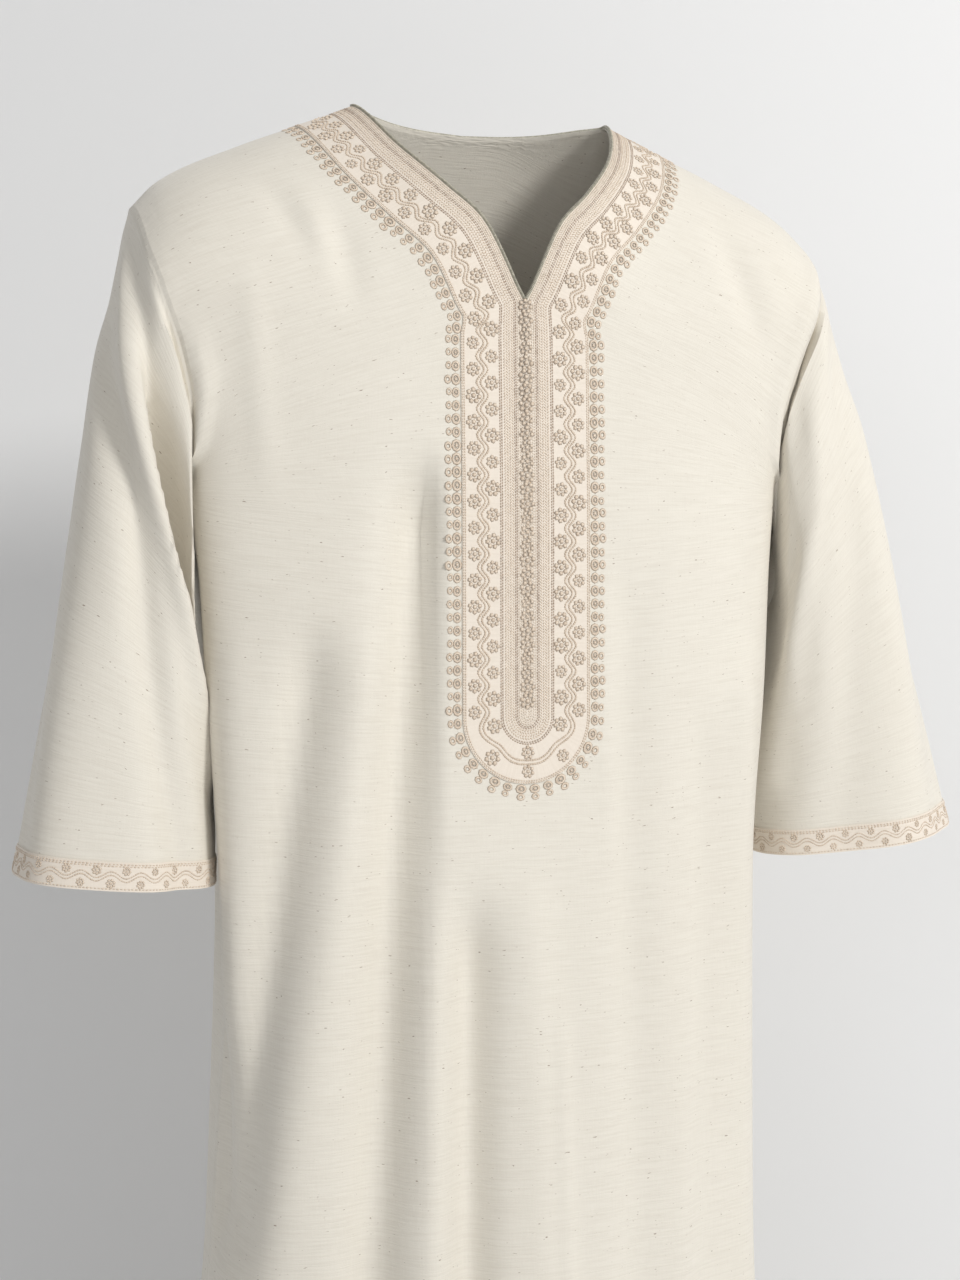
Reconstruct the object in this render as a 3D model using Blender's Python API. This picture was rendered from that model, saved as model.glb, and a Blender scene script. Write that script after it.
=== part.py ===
"""A long worn robe: front, back, flared sleeves, cuff bands and a worked V neck.

The cloth is hollow and stands as if it were worn, with no wearer. The front faces -Y,
+Z is up, and the origin lies on the shoulders in the middle of the neck. "Drop" is
a distance below the origin and "out" a distance from the middle, in metres.
"""
import math

import bmesh
import bpy
import numpy as np

# Driving sizes
LENGTH = 1.400
CLOTH = 0.0016
SEAM_PULL = 0.00015
LIE_GAP = 0.0004
UNDERARM_DROP = 0.300
FRONT_UNDERARM_ROW_DROP = 0.330
PLACKET_END_DROP = 0.466
CUFF_BAND_HEIGHT = 0.020
CUFF_BAND_THICKNESS = 0.0012
EDGING_WIDTH = 0.008

# Embroidery, as distances from the neck edge or from the middle of the placket
PIPING_EDGE = 0.0085
BRAID_EDGE = 0.0205
WAVE_LINE = 0.0340
OUTER_LINE = 0.0485
LOOP_TIP = 0.0620
LOOP_PITCH = 0.00965

BAND_COLUMNS = np.array([0.0, PIPING_EDGE, BRAID_EDGE, WAVE_LINE, OUTER_LINE, LOOP_TIP])
BAND_RISE = np.array([0.0016, 0.0012, 0.0014, 0.0012, 0.0008])
LOOP_VALLEY_SHARE = 0.25
EDGING_THICKNESS = 0.0012
EDGING_LIE_GAP = 0.0006
EDGING_END_GAP = 0.0010
JOIN_DISTANCE = 0.00002

# How the cloth rolls over the shoulders: less deeply away from the neck
ROLL_DEPTH = 0.19
ROLL_DEPTH_LOST = 0.09
ROLL_POWER = 1.5

# Where the arms press the sides, as depths from the middle
PRESS_MIDDLE = 0.012
PRESS_REACH = 0.085
SWELL_MIDDLE = -0.085
SWELL_REACH = 0.060

# The rows run level below this drop, and the back's rows sag in the middle above it
LEVEL_ROWS_DROP = 0.75
BACK_SAG = 0.02
BACK_NECK_ROW = 0.012

# How a sleeve leaves the armhole and how it arrives at its end
LEAVE_FORWARD = 0.14
LEAVE_DOWN = 0.92
ARRIVE_FORWARD = 0.03
SLEEVE_START_PULL = 0.75
SLEEVE_END_PULL = 0.90

# How finely the cloth is cut
NECK_ROWS = 14
CHEST_ROWS = 6
FRONT_ARMHOLE_ROWS = NECK_ROWS + CHEST_ROWS
PLACKET_ROWS = 5
SKIRT_ROWS = 13
BACK_ARMHOLE_ROWS = 12
SIDE_CELLS = 8
BACK_NECK_CELLS = 5
SLEEVE_RINGS = 12


def table(names, rows):
    """A short table, kept as one array for each named column."""
    columns = np.array(rows, dtype=float).T
    return dict(zip(names.split(), columns))


SHOULDER_LINE = table("out drop", [
    (0.000, -0.045),
    (0.025, -0.043),
    (0.104, 0.000),
    (0.194, 0.037),
    (0.255, 0.068),
    (0.275, 0.089),
])

BODY = table("drop half_width front_depth back_depth squareness", [
    (0.000, 0.345, 0.100, 0.080, 2.6),
    (0.090, 0.340, 0.106, 0.098, 2.6),
    (0.155, 0.325, 0.108, 0.110, 2.7),
    (0.215, 0.280, 0.110, 0.116, 2.9),
    (0.260, 0.254, 0.111, 0.119, 3.0),
    (0.300, 0.243, 0.112, 0.120, 3.0),
    (0.450, 0.235, 0.113, 0.122, 3.0),
    (0.600, 0.225, 0.118, 0.126, 2.8),
    (0.870, 0.226, 0.132, 0.140, 2.5),
    (1.100, 0.243, 0.148, 0.155, 2.3),
    (1.400, 0.268, 0.170, 0.176, 2.2),
])

# How far each hanging arm presses the side in, and the front swells before the right one
ARM_PRESS = table("drop left right right_swell", [
    (0.110, 0.000, 0.000, 0.000),
    (0.170, 0.000, 0.000, 0.008),
    (0.270, 0.000, 0.000, 0.013),
    (0.330, 0.009, 0.011, 0.013),
    (0.370, 0.013, 0.020, 0.012),
    (0.560, 0.014, 0.026, 0.009),
    (0.800, 0.008, 0.012, 0.003),
    (1.000, 0.000, 0.000, 0.000),
])

# The neck edge from shoulder to V, with the fall of the rows that leave it, in degrees
NECKLINE = table("out drop fall", [
    (0.104, 0.000, 22.0),
    (0.087, 0.036, 29.0),
    (0.056, 0.073, 33.0),
    (0.030, 0.099, 34.0),
    (0.016, 0.125, 29.0),
    (0.006, 0.147, 21.0),
    (0.000, 0.158, 17.0),
])

FRONT_ARMHOLE = table("out drop", [
    (0.275, 0.089),
    (0.271, 0.120),
    (0.256, 0.158),
    (0.237, 0.205),
    (0.228, 0.243),
    (0.229, 0.275),
    (0.243, 0.300),
])

BACK_ARMHOLE = table("out drop", [
    (0.275, 0.089),
    (0.270, 0.125),
    (0.257, 0.170),
    (0.244, 0.215),
    (0.237, 0.255),
    (0.236, 0.282),
    (0.243, 0.300),
])

BACK_NECK = table("out drop", [
    (0.104, 0.000),
    (0.092, 0.000),
    (0.060, 0.002),
    (0.000, 0.004),
])

# Folds of the front and back: a ridge rises and a trough falls, both soft at their ends
BODY_FOLDS = table("front top_out foot_out top foot rise width", [
    (1, -0.192, -0.150, 0.060, 0.150, -0.0050, 0.012),
    (1, -0.140, -0.125, 0.075, 0.190, -0.0045, 0.011),
    (1, -0.165, -0.140, 0.060, 0.170, 0.0035, 0.012),
    (1, -0.078, -0.100, 0.260, 1.500, -0.0060, 0.017),
    (1, -0.125, -0.140, 0.420, 1.500, 0.0050, 0.022),
    (1, -0.176, -0.185, 0.440, 0.900, -0.0060, 0.014),
    (1, -0.048, -0.060, 0.560, 1.500, 0.0045, 0.018),
    (1, 0.036, 0.050, 0.540, 1.500, 0.0050, 0.011),
    (1, 0.010, 0.004, 0.600, 1.500, -0.0050, 0.020),
    (1, 0.080, 0.095, 0.330, 1.500, -0.0045, 0.018),
    (1, 0.190, 0.200, 0.400, 1.500, 0.0060, 0.014),
    (1, 0.150, 0.155, 0.450, 1.500, -0.0050, 0.016),
    (1, 0.165, 0.205, 0.060, 0.210, -0.0050, 0.014),
    (0, -0.170, -0.190, 0.160, 1.500, -0.0070, 0.018),
    (0, -0.120, -0.130, 0.200, 1.500, 0.0055, 0.018),
    (0, -0.050, -0.060, 0.320, 1.500, -0.0065, 0.020),
    (0, 0.010, 0.012, 0.100, 1.500, 0.0050, 0.020),
    (0, 0.070, 0.085, 0.260, 1.500, -0.0065, 0.018),
    (0, 0.130, 0.145, 0.180, 1.500, 0.0060, 0.018),
    (0, 0.175, 0.195, 0.220, 1.500, -0.0065, 0.016),
])
FOLD_FADE = 0.070
FOLD_FOOT_GROWTH_DROP = 0.80
FOLD_SIDE_FADE = (0.90, 0.99)
BAND_CLEAR_OF_FOLDS_DROP = (0.525, 0.640)

# Each sleeve's end: how far out its two sides are, and how far down
SLEEVES = {
    "left": dict(side=1.0, outer=0.410, inner=0.236, outer_drop=0.572, inner_drop=0.592,
                 middle=-0.022, half_depth=0.066, leave=0.32, flare=0.26),
    "right": dict(side=-1.0, outer=0.364, inner=0.218, outer_drop=0.578, inner_drop=0.592,
                  middle=-0.020, half_depth=0.066, leave=0.22, flare=0.17),
}

# Folds of the sleeves: turn is 0 at the outer side, 90 at the front, 180 inside
SLEEVE_FOLDS = table("left start_turn end_turn start end rise width", [
    (0, 30.0, 118.0, 0.06, 0.80, 0.0110, 17.0),
    (0, 62.0, 150.0, 0.08, 0.70, -0.0130, 20.0),
    (0, 8.0, 50.0, 0.20, 0.95, -0.0045, 16.0),
    (0, 250.0, 225.0, 0.20, 1.20, -0.0080, 18.0),
    (0, 300.0, 290.0, 0.30, 1.20, 0.0030, 18.0),
    (1, 40.0, 112.0, 0.12, 0.85, 0.0060, 17.0),
    (1, 62.0, 140.0, 0.12, 0.80, -0.0110, 18.0),
    (1, 10.0, 40.0, 0.22, 1.20, -0.0050, 17.0),
    (1, 255.0, 235.0, 0.20, 1.20, -0.0080, 18.0),
    (1, 305.0, 295.0, 0.30, 1.20, 0.0060, 16.0),
])
SLEEVE_FOLD_FADE = 0.16

CLOTH_COLOUR = (0.745, 0.700, 0.610, 1.0)
THREAD_COLOUR = (0.600, 0.480, 0.350, 1.0)
EDGING_COLOUR = (0.420, 0.400, 0.330, 1.0)
ROUGHNESS = 0.85
SHADE_ANGLE = math.radians(40.0)


def curve_slopes(xs, ys):
    """Slopes of a curve through the points that never overshoots them."""
    steps = np.diff(xs)
    rises = np.diff(ys) / steps
    slopes = np.zeros(len(xs))
    slopes[0], slopes[-1] = rises[0], rises[-1]
    for i in range(1, len(xs) - 1):
        before, after = rises[i - 1], rises[i]
        if before * after > 0.0:
            near, far = 2 * steps[i] + steps[i - 1], steps[i] + 2 * steps[i - 1]
            slopes[i] = (near + far) / (near / before + far / after)
    return slopes


def smooth(xs, ys, x):
    """Read a smooth curve through the points at x, held level past its ends."""
    slopes = curve_slopes(xs, ys)
    x = np.clip(x, xs[0], xs[-1])
    i = np.clip(np.searchsorted(xs, x, side="right") - 1, 0, len(xs) - 2)
    span = xs[i + 1] - xs[i]
    t = (x - xs[i]) / span
    start = (1 + 2 * t) * (1 - t) ** 2 * ys[i] + t * (1 - t) ** 2 * span * slopes[i]
    end = t * t * (3 - 2 * t) * ys[i + 1] + t * t * (t - 1) * span * slopes[i + 1]
    return start + end


def ease(x, low, high):
    """Rise smoothly from 0 at low to 1 at high."""
    t = np.clip((x - low) / (high - low), 0.0, 1.0)
    return t * t * (3 - 2 * t)


def lengths_along(points):
    """Distance from the first point to each point."""
    steps = np.linalg.norm(np.diff(points, axis=0), axis=1)
    return np.concatenate([[0.0], np.cumsum(steps)])


def shoulder_drop(out):
    return smooth(SHOULDER_LINE["out"], SHOULDER_LINE["drop"], np.abs(out))


def body_column(name, drop):
    return smooth(BODY["drop"], BODY[name], drop)


def arm_press(out, depth, drop):
    """How far in the hanging arms move a point of the body's side."""
    left, right, swell = (smooth(ARM_PRESS["drop"], ARM_PRESS[name], drop)
                          for name in ("left", "right", "right_swell"))
    beside = 1.0 - ease(np.abs(depth - PRESS_MIDDLE), 0.0, PRESS_REACH)
    before = 1.0 - ease(np.abs(depth - SWELL_MIDDLE), 0.0, SWELL_REACH)
    press = np.where(out > 0, left, right) * beside * ease(np.abs(out), 0.10, 0.19)
    return press - np.where(out > 0, 0.0, swell) * before * ease(np.abs(out), 0.15, 0.21)


def body_point(front, out, drop):
    """A point of the worn body before its folds."""
    out, drop = np.asarray(out, float), np.asarray(drop, float)
    half_width = body_column("half_width", drop)
    square = body_column("squareness", drop)
    depth = body_column("front_depth" if front else "back_depth", drop)
    across = np.clip(np.abs(out) / half_width, 0.0, 1.0)
    flat = (1.0 - across ** square) ** (1.0 / square)
    roll_depth = ROLL_DEPTH - ROLL_DEPTH_LOST * ease(np.abs(out), 0.08, 0.26)
    below = np.clip((drop - shoulder_drop(out)) / roll_depth, 0.0, 1.0)
    roll = (1.0 - (1.0 - below) ** 2) ** (1.0 / ROLL_POWER)
    y = depth * flat * roll * (-1.0 if front else 1.0)
    x = out - np.sign(out) * arm_press(out, y, drop)
    return np.stack([x, y, -drop], axis=-1)


def armhole_edge(front, count):
    """Out and drop of the armhole from shoulder tip to underarm, in equal steps."""
    rows = FRONT_ARMHOLE if front else BACK_ARMHOLE
    knots = np.arange(len(rows["out"]), dtype=float)
    t = np.linspace(0.0, knots[-1], 241)
    out, drop = smooth(knots, rows["out"], t), smooth(knots, rows["drop"], t)
    along = lengths_along(body_point(front, out, drop))
    wanted = np.linspace(0.0, along[-1], count)
    return np.interp(wanted, along, out), np.interp(wanted, along, drop)


def front_inner_edge():
    """Out, drop and fall of each row's start, down the neck edge and the middle."""
    knots = np.arange(len(NECKLINE["out"]), dtype=float)
    t = np.linspace(0.0, knots[-1], 241)
    out, drop = smooth(knots, NECKLINE["out"], t), smooth(knots, NECKLINE["drop"], t)
    along = lengths_along(body_point(True, out, drop))
    fractions = np.linspace(0.0, 1.0, NECK_ROWS + 1)
    at = np.interp(fractions * along[-1], along, t)
    v_drop, v_fall = NECKLINE["drop"][-1], NECKLINE["fall"][-1]
    middle = np.concatenate([
        np.linspace(v_drop, FRONT_UNDERARM_ROW_DROP, CHEST_ROWS + 1)[1:],
        np.linspace(FRONT_UNDERARM_ROW_DROP, PLACKET_END_DROP, PLACKET_ROWS + 1)[1:],
        np.linspace(PLACKET_END_DROP, LENGTH, SKIRT_ROWS + 1)[1:],
    ])
    middle_fall = v_fall * (1.0 - ease(middle, v_drop, v_drop + 0.035))
    return (np.concatenate([smooth(knots, NECKLINE["out"], at), np.zeros(len(middle))]),
            np.concatenate([smooth(knots, NECKLINE["drop"], at), middle]),
            np.concatenate([smooth(knots, NECKLINE["fall"], at), middle_fall]))


def walk(out, drop, fall, distances):
    """Out and drop at distances along the front from a point, going out and down."""
    reach = np.linspace(0.0, 2.0 * LOOP_TIP, 241)
    outs = out + reach * math.cos(math.radians(fall))
    drops = drop + reach * math.sin(math.radians(fall))
    along = lengths_along(body_point(True, outs, drops))
    return np.interp(distances, along, outs), np.interp(distances, along, drops)


def row_to_side(front, start, end, cells):
    """Out and drop of points across the cloth from start to end, in equal steps."""
    outs, drops = np.array([start[0], end[0]]), np.array([start[1], end[1]])
    square = body_column("squareness", drops)
    ratio = np.clip(outs / body_column("half_width", drops), 0.0, 1.0)
    turns = np.arcsin(ratio ** (square / 2.0))
    t = np.linspace(0.0, 1.0, 161)
    turn = turns[0] + (turns[1] - turns[0]) * t
    power = square[0] + (square[1] - square[0]) * t
    level = drops[0] + (drops[1] - drops[0]) * t
    below = drops - shoulder_drop(outs)
    blend = ease(start[1], 0.02, 0.24)
    drop = level
    for _ in range(5):
        out = body_column("half_width", drop) * np.sin(turn) ** (2.0 / power)
        out = outs[0] + (out - out[0]) * (outs[1] - outs[0]) / (out[-1] - out[0])
        follow = shoulder_drop(out) + below[0] + (below[1] - below[0]) * t
        drop = follow * (1.0 - blend) + level * blend
    along = lengths_along(body_point(front, out, drop))
    wanted = np.linspace(0.0, along[-1], cells + 1)
    return np.interp(wanted, along, out), np.interp(wanted, along, drop)


def front_edge_lag(drop):
    """How much higher a front row ends at the side than it starts in the middle."""
    fade = 1.0 - ease(drop, FRONT_UNDERARM_ROW_DROP, LEVEL_ROWS_DROP)
    return (FRONT_UNDERARM_ROW_DROP - UNDERARM_DROP) * fade


def front_layout():
    """Out and drop of the front's points, a row from the inner edge to the side."""
    armhole_out, armhole_drop = armhole_edge(True, FRONT_ARMHOLE_ROWS + 1)
    outs, drops = [], []
    for j, (out, drop, fall) in enumerate(zip(*front_inner_edge())):
        if j == 0:
            band_out = out + BAND_COLUMNS * math.cos(math.radians(fall))
            band_drop = shoulder_drop(band_out)
        else:
            band_out, band_drop = walk(out, drop, fall, BAND_COLUMNS)
        if j <= FRONT_ARMHOLE_ROWS:
            end = armhole_out[j], armhole_drop[j]
        else:
            end_drop = drop - front_edge_lag(drop)
            end = float(body_column("half_width", end_drop)), end_drop
        rest = row_to_side(True, (band_out[-1], band_drop[-1]), end, SIDE_CELLS)
        outs.append(np.concatenate([band_out, rest[0][1:]]))
        drops.append(np.concatenate([band_drop, rest[1][1:]]))
    return np.array(outs), np.array(drops)


def back_layout(front_out, front_drop):
    """Out and drop of the back's points, which meet the front's at their seams."""
    knots = np.arange(len(BACK_NECK["out"]), dtype=float)
    t = np.linspace(knots[-1], 0.0, BACK_NECK_CELLS + 1)
    shared = [BAND_COLUMNS.size - 3] + list(range(BAND_COLUMNS.size - 1, front_out.shape[1]))
    top_out = np.concatenate([smooth(knots, BACK_NECK["out"], t), front_out[0, shared]])
    top_drop = np.concatenate([smooth(knots, BACK_NECK["drop"], t), front_drop[0, shared]])
    armhole_out, armhole_drop = armhole_edge(False, BACK_ARMHOLE_ROWS + 1)
    seam_drop = front_drop[FRONT_ARMHOLE_ROWS + 1:, -1]
    end_out = np.concatenate([armhole_out, body_column("half_width", seam_drop)])
    end_drop = np.concatenate([armhole_drop, seam_drop])
    middle = np.concatenate([
        top_drop[:1],
        np.linspace(top_drop[0] + BACK_NECK_ROW, UNDERARM_DROP + BACK_SAG, BACK_ARMHOLE_ROWS),
        seam_drop + BACK_SAG * (1.0 - ease(seam_drop, UNDERARM_DROP, LEVEL_ROWS_DROP)),
    ])
    across = top_out / top_out[-1]
    even = np.linspace(0.0, 1.0, len(top_out))
    outs, drops = [top_out], [top_drop]
    for j in range(1, len(end_out)):
        path = row_to_side(False, (0.0, middle[j]), (end_out[j], end_drop[j]), 160)
        share = ease(j, 0.0, 0.8 * BACK_ARMHOLE_ROWS)
        at = across * (1.0 - share) + even * share
        steps = np.linspace(0.0, 1.0, 161)
        outs.append(np.interp(at, steps, path[0]))
        drops.append(np.interp(at, steps, path[1]))
    return np.array(outs), np.array(drops)


def grid_normals(points, turned, around=False):
    """Outward normals of a grid of points, from the slopes of its rows and columns."""
    down = np.gradient(points, axis=0)
    if around:
        across = np.roll(points, -1, axis=1) - np.roll(points, 1, axis=1)
    else:
        across = np.gradient(points, axis=1)
    normals = np.cross(down, across) * (-1.0 if turned else 1.0)
    return normals / np.linalg.norm(normals, axis=2, keepdims=True)


def body_fold_height(points, front):
    """How far the folds raise each point of the front or the back."""
    out, drop = points[..., 0], -points[..., 2]
    foot_growth = ease(drop, FOLD_FOOT_GROWTH_DROP, LENGTH)
    height = np.zeros(out.shape)
    for k in range(len(BODY_FOLDS["front"])):
        fold = {name: column[k] for name, column in BODY_FOLDS.items()}
        if bool(fold["front"]) != front:
            continue
        t = np.clip((drop - fold["top"]) / (fold["foot"] - fold["top"]), 0.0, 1.0)
        line = fold["top_out"] + (fold["foot_out"] - fold["top_out"]) * t
        ends = ease(drop, fold["top"], fold["top"] + FOLD_FADE)
        ends = ends * (1.0 - ease(drop, fold["foot"] - FOLD_FADE, fold["foot"]))
        width = fold["width"] * (1.0 + 0.6 * foot_growth)
        shape = np.exp(-((out - line) / width) ** 2)
        height += fold["rise"] * (1.0 + 0.8 * foot_growth) * ends * shape
    edge = 1.0 - ease(np.abs(out) / body_column("half_width", drop), *FOLD_SIDE_FADE)
    if front:
        worked = 1.0 - ease(np.abs(out), LOOP_TIP, LOOP_TIP + 0.015)
        edge = edge * (1.0 - worked * (1.0 - ease(drop, *BAND_CLEAR_OF_FOLDS_DROP)))
    return height * edge


def join_middle(halves, first_row):
    """Give the two halves of a sheet the same values in the column that they share."""
    shared = halves[1.0][first_row:, 0] + halves[-1.0][first_row:, 0]
    shared /= np.linalg.norm(shared, axis=-1, keepdims=True)
    halves[1.0][first_row:, 0] = shared
    halves[-1.0][first_row:, 0] = shared


def body_halves(front, layout, first_shared_row):
    """Points and normals of the front's or the back's two halves, with their folds."""
    out, drop = layout
    points = {side: body_point(front, side * out, drop) for side in (1.0, -1.0)}
    normals = {}
    for folded in (False, True):
        for side in points:
            normals[side] = grid_normals(points[side], (side < 0) == front)
        join_middle(normals, first_shared_row)
        if not folded:
            for side in points:
                height = body_fold_height(points[side], front)[..., None]
                points[side] = points[side] + normals[side] * height
                points[side][-1, :, 2] = -LENGTH
    return points, normals


def sleeve_end_point(sleeve, turn):
    """Points of a sleeve's open end."""
    width = (sleeve["outer"] - sleeve["inner"]) / 2.0
    fall = (sleeve["inner_drop"] - sleeve["outer_drop"]) / 2.0
    x = sleeve["side"] * (sleeve["inner"] + width + width * np.cos(turn))
    y = sleeve["middle"] - sleeve["half_depth"] * np.sin(turn)
    z = fall * np.cos(turn) - sleeve["inner_drop"] + fall
    return np.stack([x, y, z], axis=-1)


def sleeve_fold_height(left, turn, along):
    """How far the folds raise each point of a sleeve."""
    height = np.zeros(np.broadcast(turn, along).shape)
    for k in range(len(SLEEVE_FOLDS["left"])):
        fold = {name: column[k] for name, column in SLEEVE_FOLDS.items()}
        if bool(fold["left"]) != left:
            continue
        t = np.clip((along - fold["start"]) / (fold["end"] - fold["start"]), 0.0, 1.0)
        line = fold["start_turn"] + (fold["end_turn"] - fold["start_turn"]) * t
        ends = ease(along, fold["start"], fold["start"] + SLEEVE_FOLD_FADE)
        ends = ends * (1.0 - ease(along, fold["end"] - SLEEVE_FOLD_FADE, fold["end"]))
        apart = (np.degrees(turn) - line + 180.0) % 360.0 - 180.0
        height += fold["rise"] * ends * np.exp(-(apart / fold["width"]) ** 2)
    return height


def sleeve_rings(sleeve, armhole):
    """Rings of a sleeve from the armhole to its end, the last cell under the cuff band."""
    turn = np.concatenate([
        np.linspace(0.0, math.pi, FRONT_ARMHOLE_ROWS + 1)[:-1],
        np.linspace(math.pi, 2.0 * math.pi, BACK_ARMHOLE_ROWS + 1)[:-1],
    ])
    side = sleeve["side"]
    end = sleeve_end_point(sleeve, turn)
    reach = np.linalg.norm(end - armhole, axis=1)
    outward = 0.5 + 0.5 * np.cos(turn)
    leave = np.stack([side * sleeve["leave"] * outward, -LEAVE_FORWARD * np.sin(turn),
                      np.full(len(turn), -LEAVE_DOWN)], axis=1)
    arrive = np.stack([side * sleeve["flare"] * outward, -ARRIVE_FORWARD * np.sin(turn),
                       np.full(len(turn), -1.0)], axis=1)
    band_top = 1.0 - CUFF_BAND_HEIGHT / (reach * SLEEVE_END_PULL)
    stations = np.linspace(0.0, 1.0, SLEEVE_RINGS)[:, None] * band_top
    stations = np.concatenate([stations, np.ones((1, len(turn)))])
    t = stations[..., None]
    rings = ((1 + 2 * t) * (1 - t) ** 2 * armhole
             + t * (1 - t) ** 2 * leave * reach[:, None] * SLEEVE_START_PULL
             + t * t * (3 - 2 * t) * end
             + t * t * (t - 1) * arrive * reach[:, None] * SLEEVE_END_PULL)
    normals = grid_normals(rings, side > 0, around=True)
    height = sleeve_fold_height(side > 0, turn, stations)
    rings = rings + normals * height[..., None]
    return rings, grid_normals(rings, side > 0, around=True)


def unit(vectors):
    return vectors / np.linalg.norm(vectors, axis=-1, keepdims=True)


def pull_apart(edge, beside, normals, around=False, hang=0.0):
    """Move a sewn edge off its seam into its own sheet, or in from a hanging crease."""
    if around:
        along = np.roll(edge, -1, axis=0) - np.roll(edge, 1, axis=0)
    else:
        along = np.gradient(edge, axis=0)
    step = unit(np.cross(normals, along))
    towards = np.sum(step * (beside - edge), axis=-1, keepdims=True)
    step = np.where(towards < 0, -step, step)
    return edge + unit(step * (1.0 - hang) - normals * hang) * SEAM_PULL


def sew(front, back, sleeve):
    """Match the normals at one side's seams and part the pieces there."""
    (front_points, front_normals), (back_points, back_normals) = front, back
    rings, ring_normals = sleeve
    front_rows, back_rows = FRONT_ARMHOLE_ROWS, BACK_ARMHOLE_ROWS
    for normals, rows, first_column in (
            (front_normals, front_rows, 0), (back_normals, back_rows, BACK_NECK_CELLS)):
        normals[0, first_column:, 1] = 0.0
        normals[rows:, -1, 1] = 0.0
        normals[0], normals[rows:, -1] = unit(normals[0]), unit(normals[rows:, -1])

    # Cloth that meets face to face keeps its own normals, and hangs from the seam
    body_ring = np.concatenate([front_normals[:front_rows, -1],
                                back_normals[back_rows:0:-1, -1]])
    agree = np.sum(body_ring * ring_normals[0], axis=-1, keepdims=True)
    match = ease(agree, 0.1, 0.7)
    body_seam = unit(body_ring + match * ring_normals[0])
    sleeve_seam = unit(ring_normals[0] + match * body_ring)
    hang = 1.0 - match
    ring_normals[0] = sleeve_seam
    rings[0] = pull_apart(rings[0], rings[1], sleeve_seam, around=True, hang=hang)

    front_seam = np.arange(front_rows + 1)
    back_seam = np.concatenate([[0], np.arange(len(body_ring) - 1, front_rows - 1, -1)])
    for points, normals, first_column, ring_rows in (
            (front_points, front_normals, 0, front_seam),
            (back_points, back_normals, BACK_NECK_CELLS, back_seam)):
        normals[:len(ring_rows), -1] = body_seam[ring_rows]
        edge_hang = np.zeros((len(points), 1))
        edge_hang[:len(ring_rows)] = hang[ring_rows]
        top, below = points[0, first_column:], points[1, first_column:]
        shoulder = pull_apart(top, below, normals[0, first_column:])
        side_edge = pull_apart(points[:, -1], points[:, -2], normals[:, -1], hang=edge_hang)
        side_edge[0] += shoulder[-1] - points[0, -1]
        underarm = len(ring_rows) - 1
        side_edge[underarm] += unit(points[underarm, -2] - points[underarm, -1]) * SEAM_PULL
        points[0, first_column:] = shoulder
        points[:, -1] = side_edge


def wall_faces(rows, columns, flip, around=False, open_from=None, open_end=False):
    """Faces of a wall whose outer grid of points is followed by its inner grid."""
    cells = columns if around else columns - 1
    inner = rows * columns
    faces = []
    for j in range(rows - 1):
        for i in range(cells):
            k = (i + 1) % columns
            a, b = j * columns + i, j * columns + k
            c, d = b + columns, a + columns
            faces.append((a, d, c, b))
            faces.append((a + inner, b + inner, c + inner, d + inner))
    for i in range(cells):
        k = (i + 1) % columns
        low = (rows - 1) * columns
        faces.append((i, k, k + inner, i + inner))
        if not open_end:
            faces.append((low + i, low + i + inner, low + k + inner, low + k))
    if not around:
        last = columns - 1
        for j in range(rows - 1):
            a, d = j * columns, (j + 1) * columns
            if open_from is None or j < open_from:
                faces.append((a, a + inner, d + inner, d))
            faces.append((a + last, d + last, d + last + inner, a + last + inner))
    return [face[::-1] for face in faces] if flip else faces


def cloth_material(name, colour):
    material = bpy.data.materials.new(name)
    material.use_nodes = True
    shader = material.node_tree.nodes["Principled BSDF"]
    shader.inputs["Base Color"].default_value = colour
    shader.inputs["Roughness"].default_value = ROUGHNESS
    shader.inputs["Metallic"].default_value = 0.0
    return material


def add_cloth(name, sheets, colour, collection, **ends):
    """One named piece from (outer, inner, flip) sheets, joined where they meet."""
    form = bmesh.new()
    for outer, inner, flip in sheets:
        rows, columns = outer.shape[:2]
        places = np.concatenate([outer.reshape(-1, 3), inner.reshape(-1, 3)])
        vertices = [form.verts.new(place) for place in places]
        for face in wall_faces(rows, columns, flip, **ends):
            form.faces.new([vertices[i] for i in face])
    bmesh.ops.remove_doubles(form, verts=form.verts, dist=JOIN_DISTANCE)
    bmesh.ops.dissolve_degenerate(form, edges=form.edges, dist=JOIN_DISTANCE)
    mesh = bpy.data.meshes.new(name)
    form.to_mesh(mesh)
    form.free()
    mesh.materials.append(cloth_material(name, colour))
    mesh.shade_smooth()
    mesh.set_sharp_from_angle(angle=SHADE_ANGLE)
    piece = bpy.data.objects.new(name, mesh)
    collection.objects.link(piece)
    return piece


def add_body_sheet(name, front, points, normals, first_shared_row, collection):
    """The front or the back: two halves joined down the middle."""
    sheets = [(points[side], points[side] - normals[side] * CLOTH, (side < 0) == front)
              for side in (1.0, -1.0)]
    add_cloth(name, sheets, CLOTH_COLOUR, collection, open_from=first_shared_row)


def add_sleeve(sleeve, name, rings, normals, collection):
    """A sleeve and the worked band round its end."""
    flip = sleeve["side"] > 0
    inner = rings - normals * CLOTH
    add_cloth("sleeve_" + name, [(rings, inner, flip)], CLOTH_COLOUR, collection, around=True)
    under = rings[-2:] + normals[-2:] * LIE_GAP
    over = under + normals[-2:] * CUFF_BAND_THICKNESS
    add_cloth("cuff_band_" + name, [(over, under, flip)], THREAD_COLOUR, collection,
              around=True)


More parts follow.
